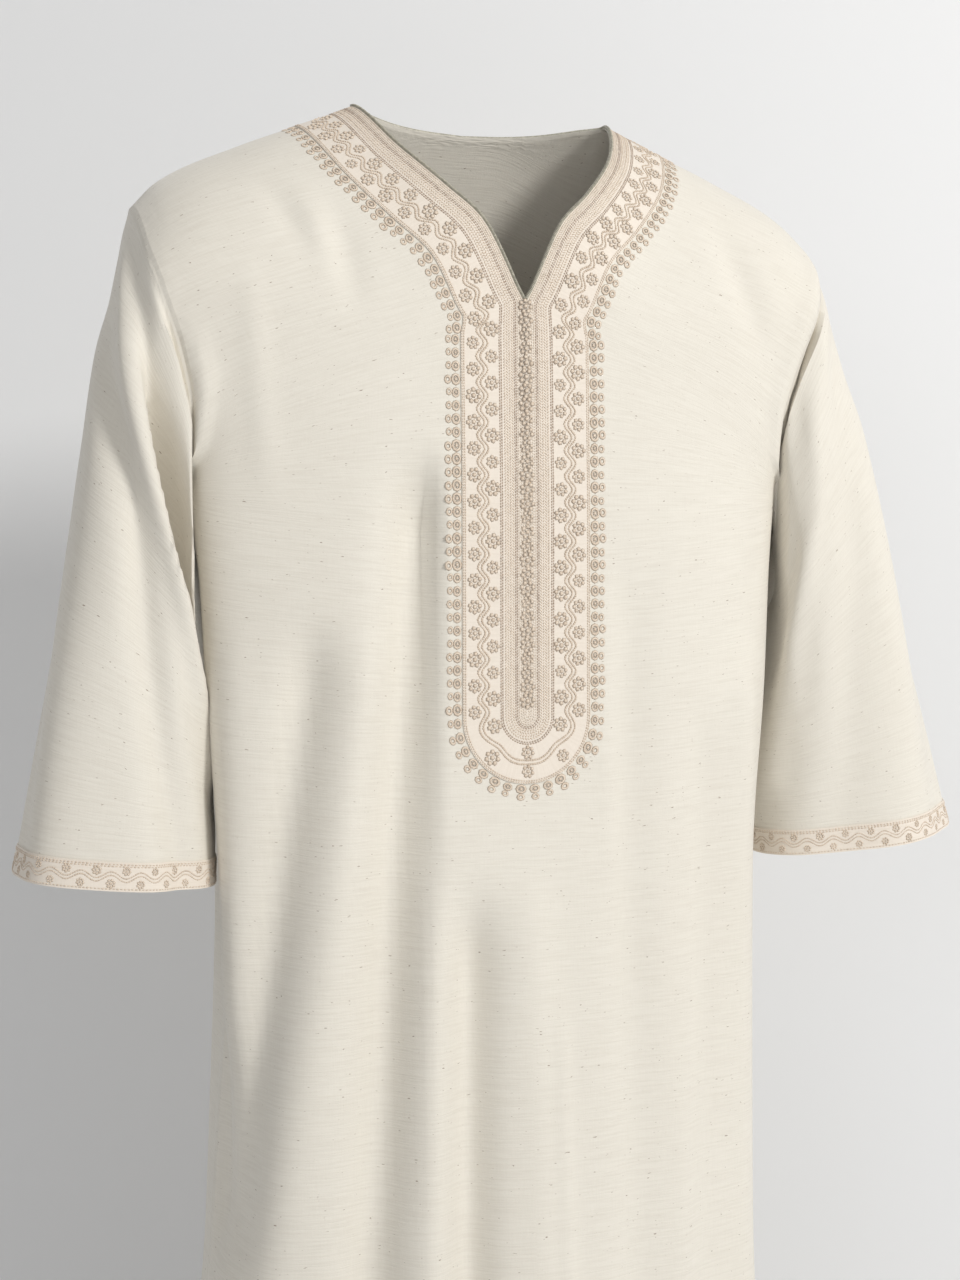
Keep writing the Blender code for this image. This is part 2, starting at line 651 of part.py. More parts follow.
def band_rows(points, normals):
    """Rows of the neck embroidery along the front's own rows, two for each loop."""
    rows = NECK_ROWS + CHEST_ROWS + PLACKET_ROWS + 1
    outer_line = points[:rows, BAND_COLUMNS.size - 2]
    along = lengths_along(outer_line)
    neck_loops = round(along[NECK_ROWS] / LOOP_PITCH)
    down_loops = round((along[-1] - along[NECK_ROWS]) / LOOP_PITCH)
    neck = np.linspace(0.0, along[NECK_ROWS], 2 * neck_loops + 1)
    down = np.linspace(along[NECK_ROWS], along[-1], 2 * down_loops + 1)[1:]
    at = np.interp(np.concatenate([neck, down]), along, np.arange(rows))
    low = np.clip(np.floor(at).astype(int), 0, rows - 2)
    share = (at - low)[:, None, None]
    columns = np.s_[:BAND_COLUMNS.size]
    return [grid[low, columns] * (1.0 - share) + grid[low + 1, columns] * share
            for grid in (points, normals)], 2 * neck_loops


def band_end(side):
    """Rows of the embroidery that turn round the foot of the placket."""
    loops = round(0.5 * math.pi * OUTER_LINE / LOOP_PITCH)
    turn = np.linspace(0.0, 0.5 * math.pi, 2 * loops + 1)[1:, None]
    out = BAND_COLUMNS * np.cos(turn)
    drop = PLACKET_END_DROP + BAND_COLUMNS * np.sin(turn)
    points = body_point(True, side * out, drop)
    nudge = 0.001
    across = body_point(True, side * out + nudge, drop) - body_point(True, side * out - nudge, drop)
    down = body_point(True, side * out, drop + nudge) - body_point(True, side * out, drop - nudge)
    return points, unit(np.cross(down, across))


def add_neck_embroidery(points, normals, collection):
    """The worked band, raised at its piping, braid and outer line, with looped edges."""
    sheets = []
    for side in (1.0, -1.0):
        (places, ways), v_row = band_rows(points[side], normals[side])
        end_places, end_ways = band_end(side)
        places = np.concatenate([places, end_places])
        ways = unit(np.concatenate([ways, end_ways]))
        tip_share = np.where(np.arange(len(places)) % 2 == 1, 1.0, LOOP_VALLEY_SHARE)
        outer_line = places[:, -2]
        places[:, -1] = outer_line + (places[:, -1] - outer_line) * tip_share[:, None]
        keep = [0, 1, 2, 4, 5]
        places, ways = places[:, keep], ways[:, keep]
        under = places + ways * LIE_GAP
        sheets.append((under + ways * BAND_RISE[:, None], under, side < 0))
    add_cloth("neck_embroidery", sheets, THREAD_COLOUR, collection,
              open_from=v_row, open_end=True)


def add_back_neck_edging(points, normals, collection):
    """The narrow finish along the back neck, lying on the back."""
    sheets = []
    for side in (1.0, -1.0):
        neck = np.s_[:2, :BACK_NECK_CELLS + 1]
        places, ways = points[side][neck].copy(), normals[side][neck].copy()
        down = places[1] - places[0]
        places[1] = places[0] + unit(down) * EDGING_WIDTH
        places[:, -1] += unit(places[:, -2] - places[:, -1]) * EDGING_END_GAP
        under = places + ways * EDGING_LIE_GAP
        sheets.append((under + ways * EDGING_THICKNESS, under, side > 0))
    add_cloth("back_neck_edging", sheets, EDGING_COLOUR, collection, open_from=0)


def clear_scene():
    for obj in list(bpy.data.objects):
        bpy.data.objects.remove(obj, do_unlink=True)


def build_robe():
    collection = bpy.data.collections.new("thobe_robe")
    bpy.context.scene.collection.children.link(collection)
    layout = front_layout()
    front, front_normals = body_halves(True, layout, NECK_ROWS)
    back, back_normals = body_halves(False, back_layout(*layout), 0)
    for name, sleeve in SLEEVES.items():
        side = sleeve["side"]
        armhole = np.concatenate([front[side][:FRONT_ARMHOLE_ROWS, -1],
                                  back[side][BACK_ARMHOLE_ROWS:0:-1, -1]])
        rings, ring_normals = sleeve_rings(sleeve, armhole)
        sew((front[side], front_normals[side]), (back[side], back_normals[side]),
            (rings, ring_normals))
        add_sleeve(sleeve, name, rings, ring_normals, collection)
    add_body_sheet("front_panel", True, front, front_normals, NECK_ROWS, collection)
    add_body_sheet("back_panel", False, back, back_normals, 0, collection)
    add_neck_embroidery(front, front_normals, collection)
    add_back_neck_edging(back, back_normals, collection)


clear_scene()
build_robe()
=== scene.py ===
# %% [markdown]
# # A worn robe of cream slub cloth with a worked V neck
#
# The real robe is cut from a few large panels and hangs from the shoulders. A machine
# then covers the neck, the placket and the cuffs with tone-on-tone thread. Large soft
# cloth and thousands of small stitches need two ways of modelling. The cloth is a
# lofted grid of points that a few tables describe, because its cut and its folds are
# known. The stitches are one small motif that Geometry Nodes repeat along paths.

import math

import bmesh
import bpy
import numpy as np
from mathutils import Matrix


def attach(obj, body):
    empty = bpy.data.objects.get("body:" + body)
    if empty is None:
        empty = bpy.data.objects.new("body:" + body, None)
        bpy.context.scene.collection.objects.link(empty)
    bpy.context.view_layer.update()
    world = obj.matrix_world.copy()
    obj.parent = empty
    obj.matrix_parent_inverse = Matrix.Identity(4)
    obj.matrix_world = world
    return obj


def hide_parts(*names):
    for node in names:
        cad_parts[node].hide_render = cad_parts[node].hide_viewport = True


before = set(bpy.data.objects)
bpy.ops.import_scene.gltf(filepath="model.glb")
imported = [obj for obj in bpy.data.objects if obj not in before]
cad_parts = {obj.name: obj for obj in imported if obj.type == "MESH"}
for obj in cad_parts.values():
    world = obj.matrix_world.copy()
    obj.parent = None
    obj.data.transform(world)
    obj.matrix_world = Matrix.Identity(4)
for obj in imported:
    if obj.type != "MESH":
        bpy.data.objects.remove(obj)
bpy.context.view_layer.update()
scene = bpy.context.scene
print("frame nodes:", sorted(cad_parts))

# %% [markdown]
# ## The form of the cloth
#
# A robe like this could be draped by simulation from flat panels, or sculpted. Here it
# is worked out from its sizes: rounded sections of the body at a few heights, the line
# of the shoulder, the neck edge and the armholes. Smooth curves join the table rows.
# That keeps the cut exact, and the embroidery can follow the same edges later.
# "Drop" is a distance below the shoulders, and "out" a distance from the middle.

# %% Sizes of the robe, in metres
LENGTH = 1.400
CLOTH = 0.0010
UNDERARM_DROP = 0.300
FRONT_UNDERARM_ROW_DROP = 0.330
PLACKET_END_DROP = 0.466
CUFF_BAND_HEIGHT = 0.020
BAND_WIDTH = 0.062
ROLL_DEPTH, ROLL_DEPTH_LOST, ROLL_POWER = 0.19, 0.09, 1.5
PRESS_MIDDLE, PRESS_REACH = 0.012, 0.085
SWELL_MIDDLE, SWELL_REACH = -0.085, 0.060
LEVEL_ROWS_DROP, BACK_SAG = 0.75, 0.02


def table(names, rows):
    """A short table, kept as one array for each named column."""
    return dict(zip(names.split(), np.array(rows, dtype=float).T))


SHOULDER_LINE = table("out drop", [
    (0.000, -0.045), (0.025, -0.043), (0.104, 0.000),
    (0.194, 0.037), (0.255, 0.068), (0.275, 0.089),
])
BODY = table("drop half_width front_depth back_depth squareness", [
    (0.000, 0.345, 0.100, 0.080, 2.6),
    (0.090, 0.340, 0.106, 0.098, 2.6),
    (0.155, 0.325, 0.108, 0.110, 2.7),
    (0.215, 0.280, 0.110, 0.116, 2.9),
    (0.260, 0.254, 0.111, 0.119, 3.0),
    (0.300, 0.243, 0.112, 0.120, 3.0),
    (0.450, 0.235, 0.113, 0.122, 3.0),
    (0.600, 0.225, 0.118, 0.126, 2.8),
    (0.870, 0.226, 0.132, 0.140, 2.5),
    (1.100, 0.243, 0.148, 0.155, 2.3),
    (1.400, 0.268, 0.170, 0.176, 2.2),
])
ARM_PRESS = table("drop left right right_swell", [
    (0.110, 0.000, 0.000, 0.000),
    (0.170, 0.000, 0.000, 0.008),
    (0.270, 0.000, 0.000, 0.013),
    (0.330, 0.009, 0.011, 0.013),
    (0.370, 0.013, 0.020, 0.012),
    (0.560, 0.014, 0.026, 0.009),
    (0.800, 0.008, 0.012, 0.003),
    (1.000, 0.000, 0.000, 0.000),
])
NECKLINE = table("out drop fall", [
    (0.104, 0.000, 22.0), (0.087, 0.036, 29.0), (0.056, 0.073, 33.0), (0.030, 0.099, 34.0),
    (0.016, 0.125, 29.0), (0.006, 0.147, 21.0), (0.000, 0.158, 17.0),
])
FRONT_ARMHOLE = table("out drop", [
    (0.275, 0.089), (0.271, 0.120), (0.256, 0.158), (0.237, 0.205),
    (0.228, 0.243), (0.229, 0.275), (0.243, 0.300),
])
BACK_ARMHOLE = table("out drop", [
    (0.275, 0.089), (0.270, 0.125), (0.257, 0.170), (0.244, 0.215),
    (0.237, 0.255), (0.236, 0.282), (0.243, 0.300),
])
BACK_NECK = table("out drop", [
    (0.104, 0.000), (0.092, 0.000), (0.060, 0.002), (0.000, 0.004),
])
print("robe", LENGTH, "m long, body rows in the table:", len(BODY["drop"]))

# %% [markdown]
# ## Reading the tables
#
# Straight lines between table rows would leave kinks across the cloth. A monotone
# cubic curve passes through every row and never overshoots, so the chest stays flat
# where the table says it is flat.

# %% Smooth curves through the tables


def curve_slopes(xs, ys):
    """Slopes of a curve through the points that never overshoots them."""
    steps = np.diff(xs)
    rises = np.diff(ys) / steps
    slopes = np.zeros(len(xs))
    slopes[0], slopes[-1] = rises[0], rises[-1]
    for i in range(1, len(xs) - 1):
        before, after = rises[i - 1], rises[i]
        if before * after > 0.0:
            near, far = 2 * steps[i] + steps[i - 1], steps[i] + 2 * steps[i - 1]
            slopes[i] = (near + far) / (near / before + far / after)
    return slopes


def smooth(xs, ys, x):
    """Read a smooth curve through the points at x, held level past its ends."""
    slopes = curve_slopes(xs, ys)
    x = np.clip(x, xs[0], xs[-1])
    i = np.clip(np.searchsorted(xs, x, side="right") - 1, 0, len(xs) - 2)
    span = xs[i + 1] - xs[i]
    t = (x - xs[i]) / span
    start = (1 + 2 * t) * (1 - t) ** 2 * ys[i] + t * (1 - t) ** 2 * span * slopes[i]
    end = t * t * (3 - 2 * t) * ys[i + 1] + t * t * (t - 1) * span * slopes[i + 1]
    return start + end


def ease(x, low, high):
    """Rise smoothly from 0 at low to 1 at high."""
    t = np.clip((x - low) / (high - low), 0.0, 1.0)
    return t * t * (3 - 2 * t)


def unit(vectors):
    return vectors / np.linalg.norm(vectors, axis=-1, keepdims=True)


def lengths_along(points, axis=0):
    """Distance along a line of points from its first one."""
    steps = np.linalg.norm(np.diff(points, axis=axis), axis=-1)
    start = np.zeros_like(np.take(steps, [0], axis=axis))
    return np.concatenate([start, np.cumsum(steps, axis=axis)], axis=axis)


def shoulder_drop(out):
    return smooth(SHOULDER_LINE["out"], SHOULDER_LINE["drop"], np.abs(out))


def body_column(name, drop):
    return smooth(BODY["drop"], BODY[name], drop)


print("shoulder at 0.2 m out drops", round(float(shoulder_drop(0.2)), 4))

# %% [markdown]
# ## A point of the worn body
#
# Each level of the body is a rounded oblong, wider than deep, as a loose robe is. The
# cloth rolls over the shoulders, and the hanging arms press its sides in.

# %% The body's surface


def arm_press(out, depth, drop):
    """How far in the hanging arms move a point of the body's side."""
    left, right, swell = (smooth(ARM_PRESS["drop"], ARM_PRESS[name], drop)
                          for name in ("left", "right", "right_swell"))
    beside = 1.0 - ease(np.abs(depth - PRESS_MIDDLE), 0.0, PRESS_REACH)
    before = 1.0 - ease(np.abs(depth - SWELL_MIDDLE), 0.0, SWELL_REACH)
    press = np.where(out > 0, left, right) * beside * ease(np.abs(out), 0.10, 0.19)
    return press - np.where(out > 0, 0.0, swell) * before * ease(np.abs(out), 0.15, 0.21)


def body_point(front, out, drop):
    """A point of the worn body before its folds."""
    out, drop = np.asarray(out, float), np.asarray(drop, float)
    half_width = body_column("half_width", drop)
    square = body_column("squareness", drop)
    depth = body_column("front_depth" if front else "back_depth", drop)
    across = np.clip(np.abs(out) / half_width, 0.0, 1.0)
    flat = (1.0 - across ** square) ** (1.0 / square)
    roll_depth = ROLL_DEPTH - ROLL_DEPTH_LOST * ease(np.abs(out), 0.08, 0.26)
    below = np.clip((drop - shoulder_drop(out)) / roll_depth, 0.0, 1.0)
    roll = (1.0 - (1.0 - below) ** 2) ** (1.0 / ROLL_POWER)
    y = depth * flat * roll * (-1.0 if front else 1.0)
    x = out - np.sign(out) * arm_press(out, y, drop)
    return np.stack([x, y, -drop], axis=-1)


print("chest point", body_point(True, 0.1, 0.3).round(3))

# %% [markdown]
# ## Rows and columns of the panels
#
# A panel is a grid. Its rows leave the neck edge or the middle of the front, and end
# at the armhole or the side seam. Rows that meet the edges square make it easy to lay
# the worked band along the neck. The first columns are spaced across that band.

# %% Grid of the front
FINE = 4
NECK_ROWS, CHEST_ROWS, PLACKET_ROWS, SKIRT_ROWS = 14 * FINE, 6 * FINE, 5 * FINE, 13 * FINE
FRONT_ARMHOLE_ROWS = NECK_ROWS + CHEST_ROWS
BACK_ARMHOLE_ROWS = 12 * FINE
SIDE_CELLS = 34
BACK_NECK_CELLS = 18
SLEEVE_RINGS = 12 * FINE
BAND_STEPS = np.linspace(0.0, BAND_WIDTH, 21)


def armhole_edge(front, count):
    """Out and drop of the armhole from shoulder tip to underarm, in equal steps."""
    rows = FRONT_ARMHOLE if front else BACK_ARMHOLE
    knots = np.arange(len(rows["out"]), dtype=float)
    t = np.linspace(0.0, knots[-1], 241)
    out, drop = smooth(knots, rows["out"], t), smooth(knots, rows["drop"], t)
    along = lengths_along(body_point(front, out, drop))
    wanted = np.linspace(0.0, along[-1], count)
    return np.interp(wanted, along, out), np.interp(wanted, along, drop)


def front_inner_edge():
    """Out, drop and fall of each row's start, down the neck edge and the middle."""
    knots = np.arange(len(NECKLINE["out"]), dtype=float)
    t = np.linspace(0.0, knots[-1], 241)
    out, drop = smooth(knots, NECKLINE["out"], t), smooth(knots, NECKLINE["drop"], t)
    along = lengths_along(body_point(True, out, drop))
    at = np.interp(np.linspace(0.0, 1.0, NECK_ROWS + 1) * along[-1], along, t)
    v_drop, v_fall = NECKLINE["drop"][-1], NECKLINE["fall"][-1]
    middle = np.concatenate([
        np.linspace(v_drop, FRONT_UNDERARM_ROW_DROP, CHEST_ROWS + 1)[1:],
        np.linspace(FRONT_UNDERARM_ROW_DROP, PLACKET_END_DROP, PLACKET_ROWS + 1)[1:],
        np.linspace(PLACKET_END_DROP, LENGTH, SKIRT_ROWS + 1)[1:],
    ])
    middle_fall = v_fall * (1.0 - ease(middle, v_drop, v_drop + 0.035))
    return (np.concatenate([smooth(knots, NECKLINE["out"], at), np.zeros(len(middle))]),
            np.concatenate([smooth(knots, NECKLINE["drop"], at), middle]),
            np.concatenate([smooth(knots, NECKLINE["fall"], at), middle_fall]))


def walk(out, drop, fall, distances):
    """Out and drop at distances along the front from a point, going out and down."""
    reach = np.linspace(0.0, 2.0 * BAND_WIDTH, 241)
    outs = out + reach * math.cos(math.radians(fall))
    drops = drop + reach * math.sin(math.radians(fall))
    along = lengths_along(body_point(True, outs, drops))
    return np.interp(distances, along, outs), np.interp(distances, along, drops)


def row_to_side(front, start, end, cells):
    """Out and drop of points across the cloth from start to end, in equal steps."""
    outs, drops = np.array([start[0], end[0]]), np.array([start[1], end[1]])
    square = body_column("squareness", drops)
    ratio = np.clip(outs / body_column("half_width", drops), 0.0, 1.0)
    turns = np.arcsin(ratio ** (square / 2.0))
    t = np.linspace(0.0, 1.0, 161)
    turn = turns[0] + (turns[1] - turns[0]) * t
    power = square[0] + (square[1] - square[0]) * t
    level = drops[0] + (drops[1] - drops[0]) * t
    below = drops - shoulder_drop(outs)
    blend = ease(start[1], 0.02, 0.24)
    drop = level
    for _ in range(5):
        out = body_column("half_width", drop) * np.sin(turn) ** (2.0 / power)
        out = outs[0] + (out - out[0]) * (outs[1] - outs[0]) / (out[-1] - out[0])
        follow = shoulder_drop(out) + below[0] + (below[1] - below[0]) * t
        drop = follow * (1.0 - blend) + level * blend
    along = lengths_along(body_point(front, out, drop))
    wanted = np.linspace(0.0, along[-1], cells + 1)
    return np.interp(wanted, along, out), np.interp(wanted, along, drop)


def front_layout():
    """Out and drop of the front's points, a row from the inner edge to the side."""
    armhole_out, armhole_drop = armhole_edge(True, FRONT_ARMHOLE_ROWS + 1)
    outs, drops = [], []
    for j, (out, drop, fall) in enumerate(zip(*front_inner_edge())):
        if j == 0:
            band_out = out + BAND_STEPS * math.cos(math.radians(fall))
            band_drop = shoulder_drop(band_out)
        else:
            band_out, band_drop = walk(out, drop, fall, BAND_STEPS)
        if j <= FRONT_ARMHOLE_ROWS:
            end = armhole_out[j], armhole_drop[j]
        else:
            fade = 1.0 - ease(drop, FRONT_UNDERARM_ROW_DROP, LEVEL_ROWS_DROP)
            end_drop = drop - (FRONT_UNDERARM_ROW_DROP - UNDERARM_DROP) * fade
            end = float(body_column("half_width", end_drop)), end_drop
        rest = row_to_side(True, (band_out[-1], band_drop[-1]), end, SIDE_CELLS)
        outs.append(np.concatenate([band_out, rest[0][1:]]))
        drops.append(np.concatenate([band_drop, rest[1][1:]]))
    return np.array(outs), np.array(drops)


front_out, front_drop = front_layout()
print("front grid", front_out.shape)

# %% Grid of the back


def back_layout(front_out, front_drop):
    """Out and drop of the back's points, which meet the front's at their seams."""
    knots = np.arange(len(BACK_NECK["out"]), dtype=float)
    t = np.linspace(knots[-1], 0.0, BACK_NECK_CELLS + 1)
    top_out = np.concatenate([smooth(knots, BACK_NECK["out"], t), front_out[0, 2::2]])
    top_drop = np.concatenate([smooth(knots, BACK_NECK["drop"], t), front_drop[0, 2::2]])
    armhole_out, armhole_drop = armhole_edge(False, BACK_ARMHOLE_ROWS + 1)
    seam_drop = front_drop[FRONT_ARMHOLE_ROWS + 1:, -1]
    end_out = np.concatenate([armhole_out, body_column("half_width", seam_drop)])
    end_drop = np.concatenate([armhole_drop, seam_drop])
    middle = np.concatenate([
        top_drop[:1] + (UNDERARM_DROP + BACK_SAG - top_drop[0])
        * np.linspace(0.0, 1.0, BACK_ARMHOLE_ROWS + 1),
        seam_drop + BACK_SAG * (1.0 - ease(seam_drop, UNDERARM_DROP, LEVEL_ROWS_DROP)),
    ])
    across = top_out / top_out[-1]
    even = np.linspace(0.0, 1.0, len(top_out))
    steps = np.linspace(0.0, 1.0, 161)
    outs, drops = [top_out], [top_drop]
    for j in range(1, len(end_out)):
        path = row_to_side(False, (0.0, middle[j]), (end_out[j], end_drop[j]), 160)
        share = ease(j, 0.0, 0.8 * BACK_ARMHOLE_ROWS)
        at = across * (1.0 - share) + even * share
        outs.append(np.interp(at, steps, path[0]))
        drops.append(np.interp(at, steps, path[1]))
    return np.array(outs), np.array(drops)


back_out, back_drop = back_layout(front_out, front_drop)
print("back grid", back_out.shape)

# %% [markdown]
# ## Folds
#
# Slub cloth of this weight hangs in a few long soft folds, with short dents where the
# arm pulls at the chest. Each is a row of a table: where it starts and ends, how high
# it rises, or falls if negative, and how wide it is. Uneven numbers keep it natural.
# The first rows are the large folds, which the fixed solids have in a milder form, and
# the rest are finer creases. Beside each armhole the front also rises in a soft roll,
# because the seam pulls the cloth back there.

# %% Folds of the front and the back
BODY_FOLDS = table("front top_out foot_out top foot rise width", [
    (1, -0.192, -0.150, 0.060, 0.150, -0.0050, 0.012),
    (1, -0.140, -0.125, 0.075, 0.190, -0.0045, 0.011),
    (1, -0.165, -0.140, 0.060, 0.170, 0.0035, 0.012),
    (1, -0.077, -0.170, 0.260, 1.500, -0.0215, 0.021),
    (1, -0.112, -0.220, 0.380, 1.100, 0.0060, 0.018),
    (1, -0.156, -0.226, 0.380, 0.900, -0.0125, 0.016),
    (1, -0.211, -0.216, 0.380, 0.740, 0.0030, 0.010),
    (1, -0.072, -0.088, 0.560, 1.500, 0.0040, 0.012),
    (1, 0.000, 0.020, 0.560, 1.500, 0.0040, 0.018),
    (1, -0.042, -0.060, 0.580, 1.500, -0.0175, 0.017),
    (1, 0.080, 0.095, 0.330, 1.500, -0.0045, 0.018),
    (1, 0.190, 0.200, 0.400, 1.500, 0.0060, 0.014),
    (1, 0.150, 0.155, 0.450, 1.500, -0.0050, 0.016),
    (1, 0.165, 0.205, 0.060, 0.210, -0.0050, 0.014),
    (0, -0.170, -0.190, 0.160, 1.500, -0.0110, 0.016),
    (0, -0.120, -0.130, 0.200, 1.500, 0.0080, 0.017),
    (0, -0.050, -0.060, 0.320, 1.500, -0.0120, 0.016),
    (0, 0.010, 0.012, 0.100, 1.500, 0.0060, 0.020),
    (0, 0.070, 0.085, 0.260, 1.500, -0.0120, 0.016),
    (0, 0.130, 0.145, 0.180, 1.500, 0.0080, 0.017),
    (0, 0.175, 0.195, 0.220, 1.500, -0.0100, 0.015),
    # Finer creases
    (1, -0.205, -0.188, 0.120, 0.330, 0.0022, 0.009),
    (1, 0.112, 0.090, 0.310, 0.420, -0.0018, 0.010),
    (1, -0.100, -0.118, 0.640, 1.150, -0.0016, 0.008),
    (1, 0.024, 0.028, 0.660, 1.120, 0.0018, 0.007),
    (1, 0.128, 0.122, 0.700, 1.300, 0.0018, 0.010),
    (1, 0.205, 0.196, 0.300, 0.420, -0.0020, 0.009),
    (0, -0.090, -0.075, 0.090, 0.260, -0.0025, 0.012),
    (0, 0.100, 0.080, 0.080, 0.240, -0.0022, 0.012),
    (0, -0.010, -0.020, 0.600, 1.250, -0.0018, 0.010),
])
FOLD_FADE = 0.070
FOLD_FOOT_GROWTH_DROP = 0.80
FOLD_SIDE_FADE = (0.001, 0.022)
BAND_CLEAR_OF_FOLDS_DROP = (0.525, 0.640)
ROLL_AT, ROLL_WIDTH = 0.011, 0.009


def grid_normals(points, turned, around=False):
    """Outward normals of a grid of points, from the slopes of its rows and columns."""
    down = np.gradient(points, axis=0)
    if around:
        across = np.roll(points, -1, axis=1) - np.roll(points, 1, axis=1)
    else:
        across = np.gradient(points, axis=1)
    return unit(np.cross(down, across) * (-1.0 if turned else 1.0))


def body_fold_height(points, front):
    """How far the folds raise each point of the front or the back."""
    out, drop = points[..., 0], -points[..., 2]
    foot_growth = ease(drop, FOLD_FOOT_GROWTH_DROP, LENGTH)
    height = np.zeros(out.shape)
    for k in range(len(BODY_FOLDS["front"])):
        fold = {name: column[k] for name, column in BODY_FOLDS.items()}
        if bool(fold["front"]) != front:
            continue
        t = np.clip((drop - fold["top"]) / (fold["foot"] - fold["top"]), 0.0, 1.0)
        line = fold["top_out"] + (fold["foot_out"] - fold["top_out"]) * t
        ends = ease(drop, fold["top"], fold["top"] + FOLD_FADE)
        ends = ends * (1.0 - ease(drop, fold["foot"] - FOLD_FADE, fold["foot"]))
        width = fold["width"] * (1.0 + 0.6 * foot_growth)
        shape = np.exp(-((out - line) / width) ** 2)
        height += fold["rise"] * (1.0 + 0.8 * foot_growth) * ends * shape
    across = lengths_along(points, axis=1)
    edge = ease(across[:, -1:] - across, *FOLD_SIDE_FADE)
    if front:
        worked = 1.0 - ease(np.abs(out), BAND_WIDTH, BAND_WIDTH + 0.015)
        edge = edge * (1.0 - worked * (1.0 - ease(drop, *BAND_CLEAR_OF_FOLDS_DROP)))
    return height * edge


# Rise, then the shares of the armhole's length between which each roll grows.
ARMHOLE_ROLLS = {1.0: (0.0040, 0.05, 0.25), -1.0: (0.0055, 0.42, 0.62)}


def armhole_roll(points, side):
    """How far the front's edge rolls up beside an armhole."""
    across = lengths_along(points, axis=1)
    from_seam = across[:, -1:] - across
    row = np.arange(len(points))[:, None] / FRONT_ARMHOLE_ROWS
    rise, top, foot = ARMHOLE_ROLLS[side]
    share = ease(row, top, foot) * (1.0 - ease(row, 0.75, 1.00))
    return rise * share * (np.exp(-((from_seam - ROLL_AT) / ROLL_WIDTH) ** 2)
                           - math.exp(-(ROLL_AT / ROLL_WIDTH) ** 2))


def body_halves(front, out, drop, first_shared_row):
    """Points and normals of a panel's two halves, with their folds."""
    points = {side: body_point(front, side * out, drop) for side in (1.0, -1.0)}
    normals = {}
    for folded in (False, True):
        for side in points:
            normals[side] = grid_normals(points[side], (side < 0) == front)
        shared = unit(normals[1.0][first_shared_row:, 0] + normals[-1.0][first_shared_row:, 0])
        normals[1.0][first_shared_row:, 0] = shared
        normals[-1.0][first_shared_row:, 0] = shared
        if not folded:
            for side in points:
                height = body_fold_height(points[side], front)
                if front:
                    height = height + armhole_roll(points[side], side)
                points[side] = points[side] + normals[side] * height[..., None]
                points[side][-1, :, 2] = -LENGTH
    return points, normals


front_points, front_normals = body_halves(True, front_out, front_drop, NECK_ROWS)
back_points, back_normals = body_halves(False, back_out, back_drop, 0)
print("folds:", len(BODY_FOLDS["front"]))

# %% [markdown]
# ## Sleeves
#
# A set-in sleeve is a tube whose top is sewn to the armhole. It leaves the armhole
# downwards and outwards, and opens towards the cuff. Curves from each armhole point to
# the matching point of the open end give the tube, and its folds run slanting round it
# from the top of the arm to the inner elbow, as the hanging arm twists the cloth.
#
# Three things make such a fold look soft and heavy. A tuck runs along the armhole seam.
# A pocket opens beside the slanting fold, deeper on its inner side, with a small lip
# over it. And the inner side of the sleeve closes up towards the body.

# %% Sleeve sizes and folds
SLEEVES = {
    "left": dict(side=1.0, outer=0.410, inner=0.236, outer_drop=0.572, inner_drop=0.592,
                 middle=-0.022, half_depth=0.066, leave=0.32, flare=0.26,
                 tuck=0.0110, tuck_width=0.0062, tuck_turns=(10.0, 34.0)),
    "right": dict(side=-1.0, outer=0.364, inner=0.218, outer_drop=0.578, inner_drop=0.592,
                  middle=-0.020, half_depth=0.066, leave=0.22, flare=0.17,
                  tuck=0.0050, tuck_width=0.0090, tuck_turns=(50.0, 95.0)),
}
LEAVE_FORWARD, LEAVE_DOWN, ARRIVE_FORWARD = 0.14, 0.92, 0.03
SLEEVE_START_PULL, SLEEVE_END_PULL = 0.75, 0.90
CUFF_CELLS = 4

# Each fold: its side, rise and width, then a line of (share of the length, turn).
# Turn is 0 at the outer side, 90 at the front and 180 inside.
SLEEVE_FOLDS = [
    ("right", 0.0080, 12.0, [(0.02, 4), (0.15, 38), (0.30, 72), (0.45, 116), (0.62, 152),
                             (0.80, 166)]),
    ("right", -0.0080, 14.0, [(0.14, 6), (0.24, 24), (0.32, 48), (0.45, 76), (0.60, 93),
                              (0.80, 114), (1.10, 135)]),
    ("right", 0.0095, 24.0, [(0.14, 20), (0.30, 26), (0.50, 38), (1.20, 42)]),
    ("right", -0.0030, 16.0, [(0.40, -30), (0.70, 4), (1.20, 38)]),
    ("right", -0.0080, 18.0, [(0.20, 250), (0.60, 239), (1.20, 225)]),
    ("right", 0.0030, 18.0, [(0.30, 300), (1.20, 290)]),
    ("left", 0.0070, 14.0, [(0.05, 84), (0.28, 99), (0.41, 126), (0.61, 153), (0.90, 172)]),
    ("left", -0.0060, 18.0, [(0.05, 52), (0.28, 65), (0.45, 77), (0.60, 95), (0.80, 108),
                             (1.10, 124)]),
    ("left", 0.0035, 16.0, [(0.20, 30), (0.60, 54), (1.10, 90)]),
    ("left", -0.0040, 15.0, [(0.25, 2), (0.60, 24), (1.20, 50)]),
    ("left", -0.0080, 18.0, [(0.20, 255), (1.20, 235)]),
    ("left", 0.0060, 16.0, [(0.30, 305), (1.20, 295)]),
]
SLEEVE_FOLD_FADE = 0.12

